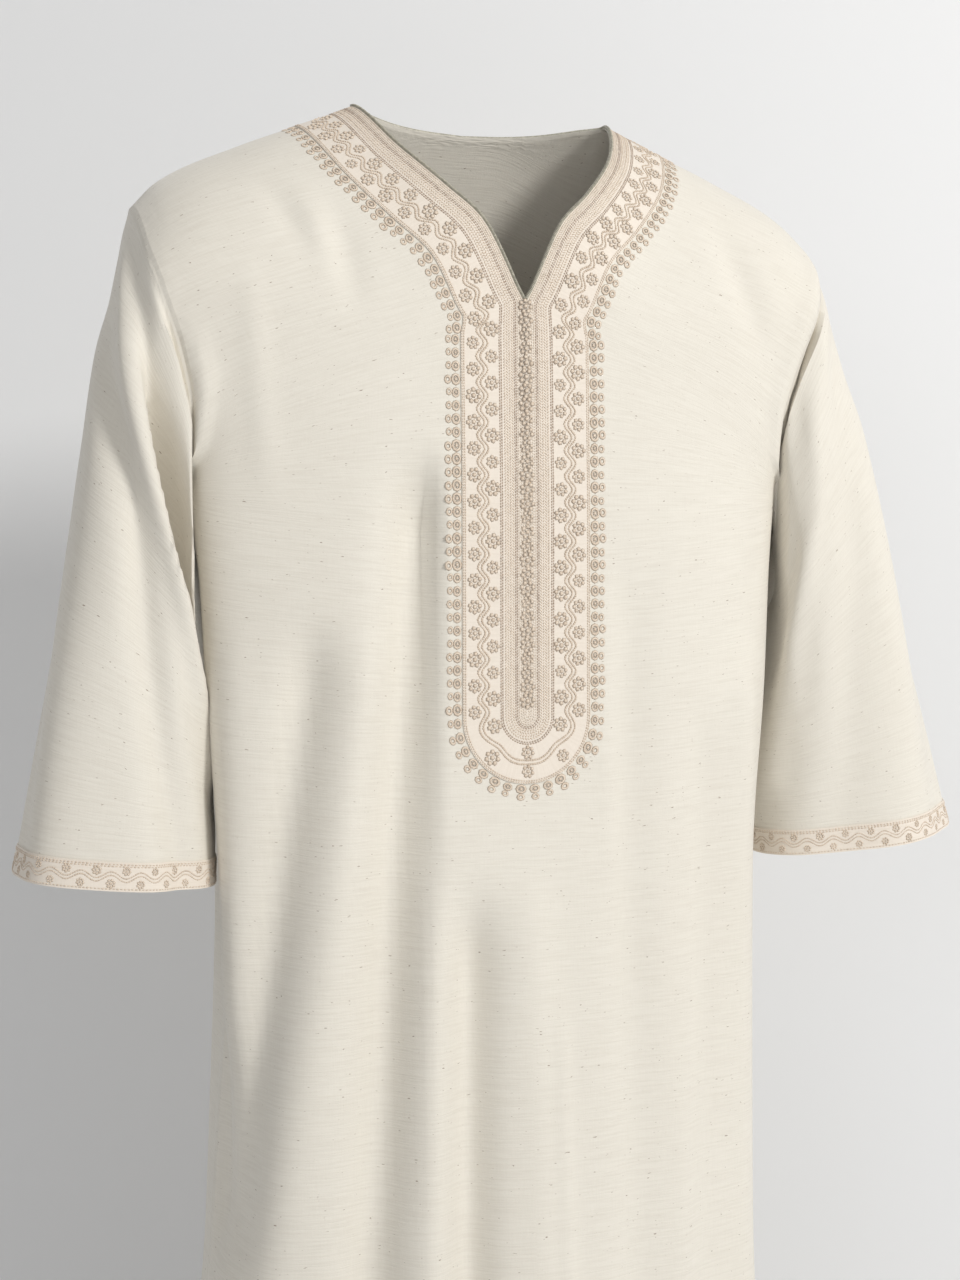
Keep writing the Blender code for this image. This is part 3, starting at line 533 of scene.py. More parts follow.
# The sleeve sinks back between its slanting fold and the body
POCKETS = {
    "right": table("along turn depth", [
        (0.05, 26.0, 0.000), (0.15, 52.0, 0.012), (0.22, 68.0, 0.030), (0.30, 86.0, 0.052),
        (0.40, 112.0, 0.056), (0.50, 136.0, 0.038), (0.62, 154.0, 0.014), (0.80, 166.0, 0.000),
    ]),
    "left": table("along turn depth", [
        (0.00, 110.0, 0.006), (0.10, 122.0, 0.018), (0.24, 134.0, 0.028), (0.36, 148.0, 0.018),
        (0.50, 160.0, 0.000), (0.80, 170.0, 0.000),
    ]),
}
POCKET_UNDERCUT = 0.25
POCKET_CLOSING = {"right": 0.0040, "left": 0.0100}
POCKET_LIP = {"right": 0.009, "left": 0.003}


def sleeve_end_point(sleeve, turn):
    """Points of a sleeve's open end."""
    width = (sleeve["outer"] - sleeve["inner"]) / 2.0
    fall = (sleeve["inner_drop"] - sleeve["outer_drop"]) / 2.0
    x = sleeve["side"] * (sleeve["inner"] + width + width * np.cos(turn))
    y = sleeve["middle"] - sleeve["half_depth"] * np.sin(turn)
    z = fall * np.cos(turn) - sleeve["inner_drop"] + fall
    return np.stack([x, y, z], axis=-1)


def sleeve_fold_height(name, turn, along):
    """How far the folds raise each point of a sleeve."""
    height = np.zeros(np.broadcast(turn, along).shape)
    for side, rise, width, line in SLEEVE_FOLDS:
        if side != name:
            continue
        shares, turns = np.array(line, dtype=float).T
        ends = ease(along, shares[0], shares[0] + SLEEVE_FOLD_FADE)
        ends = ends * (1.0 - ease(along, shares[-1] - SLEEVE_FOLD_FADE, shares[-1]))
        apart = np.degrees(turn) - smooth(shares, turns, along)
        apart = (apart + 180.0) % 360.0 - 180.0
        height += rise * ends * np.exp(-(apart / width) ** 2)
    return height


def pocket_shift(name, side, turn, along):
    """How a sleeve's points move back, under their fold and towards the body."""
    pocket = POCKETS[name]
    turn = np.degrees(turn)
    edge = smooth(pocket["along"], pocket["turn"], along)
    depth = smooth(pocket["along"], pocket["depth"], along)
    full = np.minimum(1.0, depth / 0.040)
    sunk = ease(turn, edge - 6.0 + 3.0 * full, edge + 20.0 - 12.0 * full)
    risen = ease(turn, edge + 8.0, np.maximum(edge + 20.0, 154.0))
    forward = POCKET_LIP[name] * np.minimum(1.0, depth / 0.030)
    back = sunk * (depth * (1.0 - risen) - forward * risen * (1.0 - ease(turn, 160.0, 205.0)))
    under = POCKET_UNDERCUT * depth * full * sunk * (1.0 - ease(turn, edge + 7.0, edge + 32.0))
    return np.stack([side * under, back, np.zeros_like(back)], axis=-1)


def close_to_body(name, side, turn, along, depth):
    """How far a sleeve's inner side moves to lie against the body."""
    share = ease(along, 0.06, 0.40) * (1.0 - ease(along, 0.85, 1.0))
    share = share * ease(depth, -0.046, -0.004) * (1.0 - ease(depth, 0.026, 0.060))
    return -side * POCKET_CLOSING[name] * share * ease(np.degrees(turn), 148.0, 168.0)


def sleeve_rings(name, sleeve, armhole):
    """Rings of a sleeve from the armhole to its end, the last ones under the cuff band."""
    turn = np.concatenate([
        np.linspace(0.0, math.pi, FRONT_ARMHOLE_ROWS + 1)[:-1],
        np.linspace(math.pi, 2.0 * math.pi, BACK_ARMHOLE_ROWS + 1)[:-1],
    ])
    side = sleeve["side"]
    end = sleeve_end_point(sleeve, turn)
    reach = np.linalg.norm(end - armhole, axis=1)
    outward = 0.5 + 0.5 * np.cos(turn)
    leave = np.stack([side * sleeve["leave"] * outward, -LEAVE_FORWARD * np.sin(turn),
                      np.full(len(turn), -LEAVE_DOWN)], axis=1)
    arrive = np.stack([side * sleeve["flare"] * outward, -ARRIVE_FORWARD * np.sin(turn),
                       np.full(len(turn), -1.0)], axis=1)
    band_top = 1.0 - CUFF_BAND_HEIGHT / (reach * SLEEVE_END_PULL)
    stations = (np.linspace(0.0, 1.0, SLEEVE_RINGS) ** 1.35)[:, None] * band_top
    cuff = np.linspace(0.0, 1.0, CUFF_CELLS + 1)[1:, None]
    stations = np.concatenate([stations, band_top + (1.0 - band_top) * cuff])
    t = stations[..., None]
    rings = ((1 + 2 * t) * (1 - t) ** 2 * armhole
             + t * (1 - t) ** 2 * leave * reach[:, None] * SLEEVE_START_PULL
             + t * t * (3 - 2 * t) * end
             + t * t * (t - 1) * arrive * reach[:, None] * SLEEVE_END_PULL)
    normals = grid_normals(rings, side > 0, around=True)
    height = sleeve_fold_height(name, turn, stations)
    from_seam = stations * reach
    front_share = ease(np.degrees(turn), *sleeve["tuck_turns"])
    front_share = front_share * (1.0 - ease(np.degrees(turn), 150.0, 185.0))
    tuck = np.exp(-((from_seam / sleeve["tuck_width"]) - 1.0) ** 2) - math.exp(-1.0)
    tuck = np.maximum(tuck, 0.0) / (1.0 - math.exp(-1.0))
    height = height - sleeve["tuck"] * tuck * front_share
    rings = rings + normals * height[..., None]
    rings = rings + pocket_shift(name, side, turn, stations)
    rings[..., 0] += close_to_body(name, side, turn, stations, rings[..., 1])
    return rings, grid_normals(rings, side > 0, around=True)


sleeves = {}
for name, sleeve in SLEEVES.items():
    side = sleeve["side"]
    armhole = np.concatenate([front_points[side][:FRONT_ARMHOLE_ROWS, -1],
                              back_points[side][BACK_ARMHOLE_ROWS:0:-1, -1]])
    sleeves[name] = sleeve_rings(name, sleeve, armhole)
    print("sleeve", name, sleeves[name][0].shape)

# %% [markdown]
# ## From grids to cloth
#
# Real cloth has two faces and an edge you can see at the neck and cuffs. A Solidify
# modifier could give that, but here both faces come straight from the grid, so that
# the inner face stays one cloth thickness from the outer one. Each corner also gets a
# flat position in metres as its UV, so that the weave follows the cut, and each point
# its distance to the nearest seam, so that the material can draw the seam there.

# %% Turn a grid into a wall of cloth


def mesh_of(form, name):
    """The mesh of a finished form."""
    mesh = bpy.data.meshes.new(name)
    form.to_mesh(mesh)
    form.free()
    return mesh


def put(name, data):
    """A new object in the scene."""
    made = bpy.data.objects.new(name, data)
    scene.collection.objects.link(made)
    return made


def wall_faces(rows, columns, flip, rim_columns):
    """Faces of a wall whose outer grid of points is followed by its inner grid."""
    inner = rows * columns
    faces = []
    for j in range(rows - 1):
        for i in range(columns - 1):
            a, b = j * columns + i, j * columns + i + 1
            c, d = b + columns, a + columns
            faces.append((a, d, c, b))
            faces.append((a + inner, b + inner, c + inner, d + inner))
    low = (rows - 1) * columns
    for i in range(columns - 1):
        faces.append((i, i + 1, i + 1 + inner, i + inner))
        faces.append((low + i, low + i + inner, low + i + 1 + inner, low + i + 1))
    last = columns - 1
    for j in range(rows - 1):
        a, d = j * columns, (j + 1) * columns
        if j < rim_columns[0]:
            faces.append((a, a + inner, d + inner, d))
        if j < rim_columns[1]:
            faces.append((a + last, d + last, d + last + inner, a + last + inner))
    return [face[::-1] for face in faces] if flip else faces


def cloth_piece(name, sheets, material, rim_columns, thickness=CLOTH):
    """One piece of cloth from sheets of points, normals, flat places and seam distances."""
    form = bmesh.new()
    uv_layer = form.loops.layers.uv.new("Cut")
    seam_layer = form.verts.layers.float.new("seam")
    for points, normals, flat, seam, flip in sheets:
        rows, columns = points.shape[:2]
        places = np.concatenate([points.reshape(-1, 3),
                                 (points - normals * thickness).reshape(-1, 3)])
        flats = np.concatenate([flat.reshape(-1, 2)] * 2)
        seams = np.concatenate([seam.reshape(-1)] * 2)
        vertices = [form.verts.new(place) for place in places]
        for vertex, value in zip(vertices, seams):
            vertex[seam_layer] = value
        for face in wall_faces(rows, columns, flip, rim_columns):
            made = form.faces.new([vertices[i] for i in face])
            made.smooth = True
            for loop, i in zip(made.loops, face):
                loop[uv_layer].uv = flats[i]
    bmesh.ops.remove_doubles(form, verts=form.verts, dist=0.00002)
    bmesh.ops.dissolve_degenerate(form, edges=form.edges, dist=0.00002)
    buried = [face for face in form.faces
              if sum(len(edge.link_faces) > 2 for edge in face.edges) > 1]
    bmesh.ops.delete(form, geom=buried, context="FACES")
    mesh = mesh_of(form, name)
    mesh.materials.append(material)
    mesh.set_sharp_from_angle(angle=math.radians(60.0))
    print(name, len(mesh.polygons), "faces,", len(buried), "buried ones left out")
    return put(name, mesh)


def flat_places(points, side):
    """Flat positions in metres: across from the first column, and down the panel."""
    across = lengths_along(points, axis=1) * side
    middle = lengths_along(points, axis=0).mean(axis=1, keepdims=True)
    return np.stack([across, -np.broadcast_to(middle, across.shape)], axis=-1)


def seam_distance(points):
    """Distance from each point to the nearer sewn edge, at the first row or last column."""
    across = lengths_along(points, axis=1)
    return np.minimum(lengths_along(points, axis=0), across[:, -1:] - across)


def laid_sheet(points, normals, side, lift, flip):
    """A sheet that lies over the cloth and has no seam of its own."""
    return (points + normals * lift, normals, flat_places(points, side),
            np.full(points.shape[:2], 1.0), flip)


# %% [markdown]
# ## Materials: the slub cloth
#
# Slub yarn is thick and thin by turns, so the weave shows short level streaks, with a
# few dark flecks of husk. At this distance single threads can't be seen. Noise that is
# stretched along the weft gives the streaks, and a sharp cut of a second noise gives
# the flecks. One node group makes the pattern and every cloth finish uses it, each
# with its own values.

# %% The slub weave group


def add_node(tree, kind, values=None, links=None, **settings):
    """A node with its settings, its input values and what feeds its inputs."""
    node = tree.nodes.new(kind)
    for key, value in settings.items():
        setattr(node, key, value)
    for key, value in (values or {}).items():
        node.inputs[key].default_value = value
    for key, source in (links or {}).items():
        tree.links.new(source, node.inputs[key])
    return node


def open_group(name, inputs, outputs, kind="ShaderNodeTree"):
    """An empty node group with named sockets, and its input and output nodes."""
    tree = bpy.data.node_groups.new(name, kind)
    for label, socket, value in inputs:
        made = tree.interface.new_socket(name=label, in_out="INPUT", socket_type=socket)
        if value is not None:
            made.default_value = value
    for label, socket in outputs:
        tree.interface.new_socket(name=label, in_out="OUTPUT", socket_type=socket)
    return tree, tree.nodes.new("NodeGroupInput"), tree.nodes.new("NodeGroupOutput")


def stretched_noise(tree, vector, scale, detail=2.0, roughness=0.5):
    """Noise whose grain is 1/scale metres long on each axis."""
    mapping = add_node(tree, "ShaderNodeMapping", {"Scale": (*scale, 1.0)},
                       {"Vector": vector})
    return add_node(tree, "ShaderNodeTexNoise",
                    {"Scale": 1.0, "Detail": detail, "Roughness": roughness},
                    {"Vector": mapping.outputs["Vector"]},
                    noise_dimensions="2D").outputs["Fac"]


def between(tree, value, low, high, to_low=0.0, to_high=1.0):
    """Map a value from one range to another, held at its ends."""
    return add_node(tree, "ShaderNodeMapRange", {
        "From Min": low, "From Max": high, "To Min": to_low, "To Max": to_high},
        {"Value": value}, clamp=True).outputs["Result"]


def feed(tree, socket, value):
    """Give a socket a plain value or a link."""
    if isinstance(value, (int, float, tuple)):
        socket.default_value = value
    else:
        tree.links.new(value, socket)


def combine(tree, operation, first, second):
    """A sum, product or the like of two values or sockets."""
    node = add_node(tree, "ShaderNodeMath", operation=operation)
    feed(tree, node.inputs[0], first)
    feed(tree, node.inputs[1], second)
    return node.outputs["Value"]


def mix_colour(tree, share, first, second):
    """A colour between two, which are sockets or plain colours."""
    node = add_node(tree, "ShaderNodeMix", data_type="RGBA")
    for key, value in (("Factor", share), (6, first), (7, second)):
        feed(tree, node.inputs[key], value)
    return node.outputs[2]


def bump_node(tree, height, strength, distance, normal=None):
    """The normal of a small relief, laid over another normal if there is one."""
    links = {"Height": height} if normal is None else {"Height": height, "Normal": normal}
    return add_node(tree, "ShaderNodeBump", {"Strength": strength, "Distance": distance},
                    links).outputs["Normal"]


def new_material(name, values):
    """A material with its tree and its shader, whose own values are set."""
    material = bpy.data.materials.new(name)
    material.use_nodes = True
    shader = material.node_tree.nodes["Principled BSDF"]
    for key, value in values.items():
        shader.inputs[key].default_value = value
    return material, material.node_tree, shader


slub, slub_in, slub_out = open_group("Slub weave", [
    ("Flat", "NodeSocketVector", None),
    ("Cloth", "NodeSocketColor", (0.75, 0.70, 0.62, 1.0)),
    ("Streak", "NodeSocketColor", (0.62, 0.56, 0.48, 1.0)),
    ("Fleck", "NodeSocketColor", (0.22, 0.15, 0.10, 1.0)),
    ("Streak amount", "NodeSocketFloat", 0.5),
    ("Fleck amount", "NodeSocketFloat", 0.8),
], [("Colour", "NodeSocketColor"), ("Height", "NodeSocketFloat")])
flat = slub_in.outputs["Flat"]
streaks = between(slub, stretched_noise(slub, flat, (26.0, 620.0), 3.0, 0.62), 0.38, 0.74)
warp = between(slub, stretched_noise(slub, flat, (900.0, 60.0), 2.0), 0.35, 0.75)
threads = stretched_noise(slub, flat, (700.0, 1500.0), 1.0)
broad = between(slub, stretched_noise(slub, flat, (6.0, 4.0), 2.0), 0.3, 0.7)
specks = between(slub, stretched_noise(slub, flat, (210.0, 850.0), 1.0), 0.745, 0.775)
places = between(slub, stretched_noise(slub, flat, (110.0, 150.0), 1.0), 0.58, 0.66)
flecks = combine(slub, "MULTIPLY", combine(slub, "MULTIPLY", specks, places),
                 slub_in.outputs["Fleck amount"])
uneven = combine(slub, "ADD", combine(slub, "MULTIPLY", streaks, 0.75),
                 combine(slub, "MULTIPLY", warp, 0.25))
uneven = combine(slub, "ADD", combine(slub, "MULTIPLY", uneven, 0.8),
                 combine(slub, "MULTIPLY", broad, 0.2))
share = combine(slub, "MULTIPLY", uneven, slub_in.outputs["Streak amount"])
colour = mix_colour(slub, share, slub_in.outputs["Cloth"], slub_in.outputs["Streak"])
colour = mix_colour(slub, flecks, colour, slub_in.outputs["Fleck"])
height = combine(slub, "ADD", combine(slub, "MULTIPLY", streaks, 0.6),
                 combine(slub, "MULTIPLY", threads, 0.4))
slub.links.new(colour, slub_out.inputs["Colour"])
slub.links.new(height, slub_out.inputs["Height"])
print("slub weave group:", len(slub.nodes), "nodes")

# %% Cloth finishes


def cloth_finish(name, cloth, streak, streak_amount, fleck_amount, bump, seams=True):
    """A slub cloth with a low sheen, and a groove and puckers along its seams."""
    material, tree, shader = new_material(name, {
        "Roughness": 0.78, "Sheen Weight": 0.25, "Sheen Roughness": 0.45,
        "Specular IOR Level": 0.35})
    flat = add_node(tree, "ShaderNodeUVMap", uv_map="Cut").outputs["UV"]
    weave = add_node(tree, "ShaderNodeGroup", node_tree=slub)
    for key, value in (("Flat", flat), ("Cloth", cloth), ("Streak", streak),
                       ("Streak amount", streak_amount), ("Fleck amount", fleck_amount)):
        feed(tree, weave.inputs[key], value)
    tree.links.new(weave.outputs["Colour"], shader.inputs["Base Color"])
    normal = bump_node(tree, weave.outputs["Height"], 0.55, bump)
    if seams:
        distance = add_node(tree, "ShaderNodeAttribute", attribute_name="seam").outputs["Fac"]
        groove = between(tree, distance, 0.0, 0.0035)
        pucker = stretched_noise(tree, flat, (110.0, 110.0), 1.0)
        near = between(tree, distance, 0.002, 0.016, 1.0, 0.0)
        puckers = combine(tree, "MULTIPLY", combine(tree, "MULTIPLY", pucker, near), 0.9)
        normal = bump_node(tree, combine(tree, "ADD", groove, puckers), 0.8, 0.0010, normal)
    tree.links.new(normal, shader.inputs["Normal"])
    return material


CREAM = (0.790, 0.752, 0.672, 1.0)
CREAM_STREAK = (0.640, 0.590, 0.510, 1.0)
cream_cloth = cloth_finish("cream slub cloth", CREAM, CREAM_STREAK, 0.50, 0.75, 0.0003)
band_cloth = cloth_finish("band ground cloth", (0.830, 0.752, 0.662, 1.0),
                          (0.700, 0.620, 0.520, 1.0), 0.45, 0.0, 0.0002, seams=False)

# %% [markdown]
# ## Materials: the thread
#
# The work is done in rayon thread a little darker than the cloth. It is smoother than
# the cloth, so it catches soft highlights, and each stitch lies at its own angle, so
# the light falls on each in its own way. That light is painted into the colour: noise
# with a grain of one stitch mixes a lit and a shaded tone of the thread.

# %% Thread finishes


def thread_finish(name, light, dark, roughness=0.5):
    """Thread whose tone, a painted shade for stitches at their own angles, changes from stitch
    to stitch.
    """
    material, tree, shader = new_material(name, {
        "Roughness": roughness, "Sheen Weight": 0.15, "Specular IOR Level": 0.45})
    place = add_node(tree, "ShaderNodeTexCoord").outputs["Object"]
    noise, strands = (add_node(tree, "ShaderNodeTexNoise", {"Scale": scale, "Detail": detail},
                               {"Vector": place}).outputs["Fac"]
                      for scale, detail in ((420.0, 1.0), (2600.0, 0.0)))
    # Painted shade: noise mixes a lit and a shaded tone of the thread, a stitch at a time, for
    # stitches turned to the light at their own angles
    painted_stitch_shade = between(tree, noise, 0.3, 0.7)
    tree.links.new(mix_colour(tree, painted_stitch_shade, light, dark), shader.inputs["Base Color"])
    tree.links.new(bump_node(tree, strands, 0.5, 0.00012), shader.inputs["Normal"])
    return material


light_thread = thread_finish("beige thread", (0.800, 0.682, 0.556, 1.0),
                             (0.660, 0.540, 0.424, 1.0))
dark_thread = thread_finish("brown thread", (0.590, 0.462, 0.360, 1.0),
                            (0.420, 0.322, 0.248, 1.0))
pale_thread = thread_finish("pale thread", (0.830, 0.732, 0.618, 1.0),
                            (0.700, 0.594, 0.484, 1.0))
edge_thread = thread_finish("grey-green thread", (0.520, 0.490, 0.400, 1.0),
                            (0.330, 0.315, 0.250, 1.0), 0.6)
print("thread finishes made")

# %% [markdown]
# ## The panels and sleeves
#
# Now the grids become the four main pieces. Each stands for one solid of the frame.

# %% Front, back and sleeves


def panel(name, front, points, normals, rim_rows):
    """A front or back panel from its two halves."""
    sheets = [(points[side], normals[side], flat_places(points[side], side),
               seam_distance(points[side]), (side < 0) == front)
              for side in (1.0, -1.0)]
    rows = points[1.0].shape[0]
    return cloth_piece(name, sheets, cream_cloth, (rim_rows, rows))


front_cloth = panel("front_cloth", True, front_points, front_normals, NECK_ROWS)
back_cloth = panel("back_cloth", False, back_points, back_normals, 0)


def close_ring(grid):
    """Repeat a tube's first column at its end."""
    return np.concatenate([grid, grid[:, :1]], axis=1)


def sleeve_piece(name):
    """A sleeve's tube of cloth, its sewing line on the inner side."""
    points, ways = (close_ring(grid) for grid in sleeves[name])
    side = SLEEVES[name]["side"]
    across = lengths_along(points, axis=1)
    inner_line = across[:, FRONT_ARMHOLE_ROWS:FRONT_ARMHOLE_ROWS + 1]
    seam = np.minimum(lengths_along(points, axis=0), np.abs(across - inner_line))
    return cloth_piece("sleeve_cloth_" + name,
                       [(points, ways, flat_places(points, side), seam, side > 0)],
                       cream_cloth, (0, 0))


sleeve_cloth = {name: sleeve_piece(name) for name in SLEEVES}

# %% [markdown]
# ## Where the worked band lies
#
# Every line of the embroidery keeps its distance from the neck edge, and from the
# middle of the placket below it, then turns round the placket's foot. So a place in
# the band needs two numbers: its distance across, and how far it is along from the
# foot, positive on the wearer's left. The band's own grid turns these into a point,
# with the way that the cloth faces there.

# %% The band's grid and its measure
FOOT_ROWS = 24
BAND_ROWS = NECK_ROWS + CHEST_ROWS + PLACKET_ROWS


def band_grid(side):
    """Points and normals of the band, from the shoulder seam round to the foot's middle."""
    points = front_points[side][:BAND_ROWS + 1, :len(BAND_STEPS)]
    normals = front_normals[side][:BAND_ROWS + 1, :len(BAND_STEPS)]
    turn = np.linspace(0.0, 0.5 * math.pi, FOOT_ROWS + 1)[1:, None]
    out = side * BAND_STEPS * np.cos(turn)
    drop = PLACKET_END_DROP + BAND_STEPS * np.sin(turn)
    foot = body_point(True, out, drop)
    nudge = 0.001
    across = body_point(True, out + nudge, drop) - body_point(True, out - nudge, drop)
    down = body_point(True, out, drop + nudge) - body_point(True, out, drop - nudge)
    foot_normals = unit(np.cross(down, across))
    return np.concatenate([points, foot]), np.concatenate([normals, foot_normals])


band = {side: band_grid(side) for side in (1.0, -1.0)}


def reach_at(distance):
    """Length from the foot's middle to each row, along the line at this distance."""
    column = distance / BAND_STEPS[1]
    low = int(min(column, len(BAND_STEPS) - 2))
    points = band[1.0][0]
    line = points[:, low] * (1 - column + low) + points[:, low + 1] * (column - low)
    along = lengths_along(line)
    return along[-1] - along


def read_grid(grid, row, column):
    """What a grid holds between its rows and columns."""
    j = np.clip(row.astype(int), 0, grid.shape[0] - 2)
    i = np.clip(column.astype(int), 0, grid.shape[1] - 2)
    s, t = (row - j)[..., None], (column - i)[..., None]
    return (grid[j, i] * (1 - s) * (1 - t) + grid[j + 1, i] * s * (1 - t)
            + grid[j, i + 1] * (1 - s) * t + grid[j + 1, i + 1] * s * t)


def band_place(along, across, measure):
    """Points and normals in the band. Measure gives the length from the foot at each row."""
    along, across = np.broadcast_arrays(np.asarray(along, float), np.asarray(across, float))
    rows = np.interp(np.abs(along), measure[::-1], np.arange(len(measure))[::-1])
    left, right = ([read_grid(grid, rows, across / BAND_STEPS[1]) for grid in band[side]]
                   for side in (1.0, -1.0))
    points, ways = (np.where((along >= 0)[..., None], a, b) for a, b in zip(left, right))
    return points, unit(ways)


WAVE_LINE = 0.0340
OUTER_LINE = 0.0485
wave_measure = reach_at(WAVE_LINE)
loop_measure = reach_at(OUTER_LINE)
print("band is", round(2 * float(wave_measure[0]), 3), "m long at its wave")

# %% [markdown]
# ## One stitch, one rosette, one loop
#
# Thousands of stitches can't each have many faces. A stitch is a low ridge on a small
# closed base, a petal is a small cone, and smooth shading rounds them. A rosette is a
# ring of petals round a middle one. A loop is a filled knot with a smaller ring beyond
# it, as a machine makes when it turns back on itself.

# %% Motifs of a few faces


def motif(name, draw):
    """A hidden object that Geometry Nodes repeat."""
    form = bmesh.new()
    draw(form)
    bmesh.ops.recalc_face_normals(form, faces=form.faces)
    for face in form.faces:
        face.smooth = True
    made = put(name, mesh_of(form, name))
    made.hide_render = True
    return made


def circle_points(form, centre, radius, height, sides, turn=0.0):
    angles = np.linspace(0.0, 2.0 * math.pi, sides + 1)[:-1] + turn
    return [form.verts.new((centre[0] + radius * math.cos(a),
                            centre[1] + radius * math.sin(a), height)) for a in angles]


def draw_cone(form, centre, radius, height, sides=6):
    base = circle_points(form, centre, radius, 0.0, sides)
    top = form.verts.new((centre[0], centre[1], height))
    form.faces.new(base[::-1])
    for i in range(sides):
        form.faces.new((base[i], base[(i + 1) % sides], top))


def draw_ring(form, centre, radius, half_width, height, sides=8):
    rows = [circle_points(form, centre, radius - half_width, 0.0, sides),
            circle_points(form, centre, radius, height, sides),
            circle_points(form, centre, radius + half_width, 0.0, sides)]
    for k in range(3):
        first, second = rows[k], rows[(k + 1) % 3]
        for i in range(sides):
            j = (i + 1) % sides
            form.faces.new((first[i], first[j], second[j], second[i]))


def draw_stitch(form):
    """A ridge one unit long, wide and high."""
    base = [form.verts.new(place) for place in (
        (-0.5, 0.0, 0.0), (-0.28, -0.5, 0.0), (0.28, -0.5, 0.0),
        (0.5, 0.0, 0.0), (0.28, 0.5, 0.0), (-0.28, 0.5, 0.0))]
    ridge = [form.verts.new((-0.24, 0.0, 1.0)), form.verts.new((0.24, 0.0, 1.0))]
    form.faces.new(base[::-1])
    form.faces.new((base[0], base[1], ridge[0]))
    form.faces.new((base[1], base[2], ridge[1], ridge[0]))
    form.faces.new((base[2], base[3], ridge[1]))
    form.faces.new((base[3], base[4], ridge[1]))
    form.faces.new((base[4], base[5], ridge[0], ridge[1]))
    form.faces.new((base[5], base[0], ridge[0]))


def draw_rosette(form, petals=7):
    """A rosette of radius one."""
    for k in range(petals):
        turn = 2.0 * math.pi * k / petals
        draw_cone(form, (0.68 * math.cos(turn), 0.68 * math.sin(turn)), 0.33, 0.22, 5)
    draw_cone(form, (0.0, 0.0), 0.34, 0.26, 5)


def draw_loop(form):
    """A knot and a smaller ring, in metres, reaching out along X."""
    draw_ring(form, (0.0, 0.0), 0.0026, 0.0010, 0.0007)
    draw_cone(form, (0.0, 0.0), 0.0014, 0.0007, 5)
    draw_ring(form, (0.0058, 0.0), 0.0018, 0.0009, 0.0006)


stitch = motif("stitch", draw_stitch)
rosette = motif("rosette", draw_rosette)
loop = motif("loop", draw_loop)
print("faces:", *(len(m.data.polygons) for m in (stitch, rosette, loop)))

# %% [markdown]
# ## Geometry Nodes that sew
#
# Two small trees do all the work. The first turns a path into a curve, spaces points
# evenly on it and sets a stitch on each, turned along the path and flat on the cloth.
# The second sets a motif on places that are already worked out. Both vary each copy a
# little from a fixed seed, and end by making the copies real, with their thread.

# %% The two sewing trees


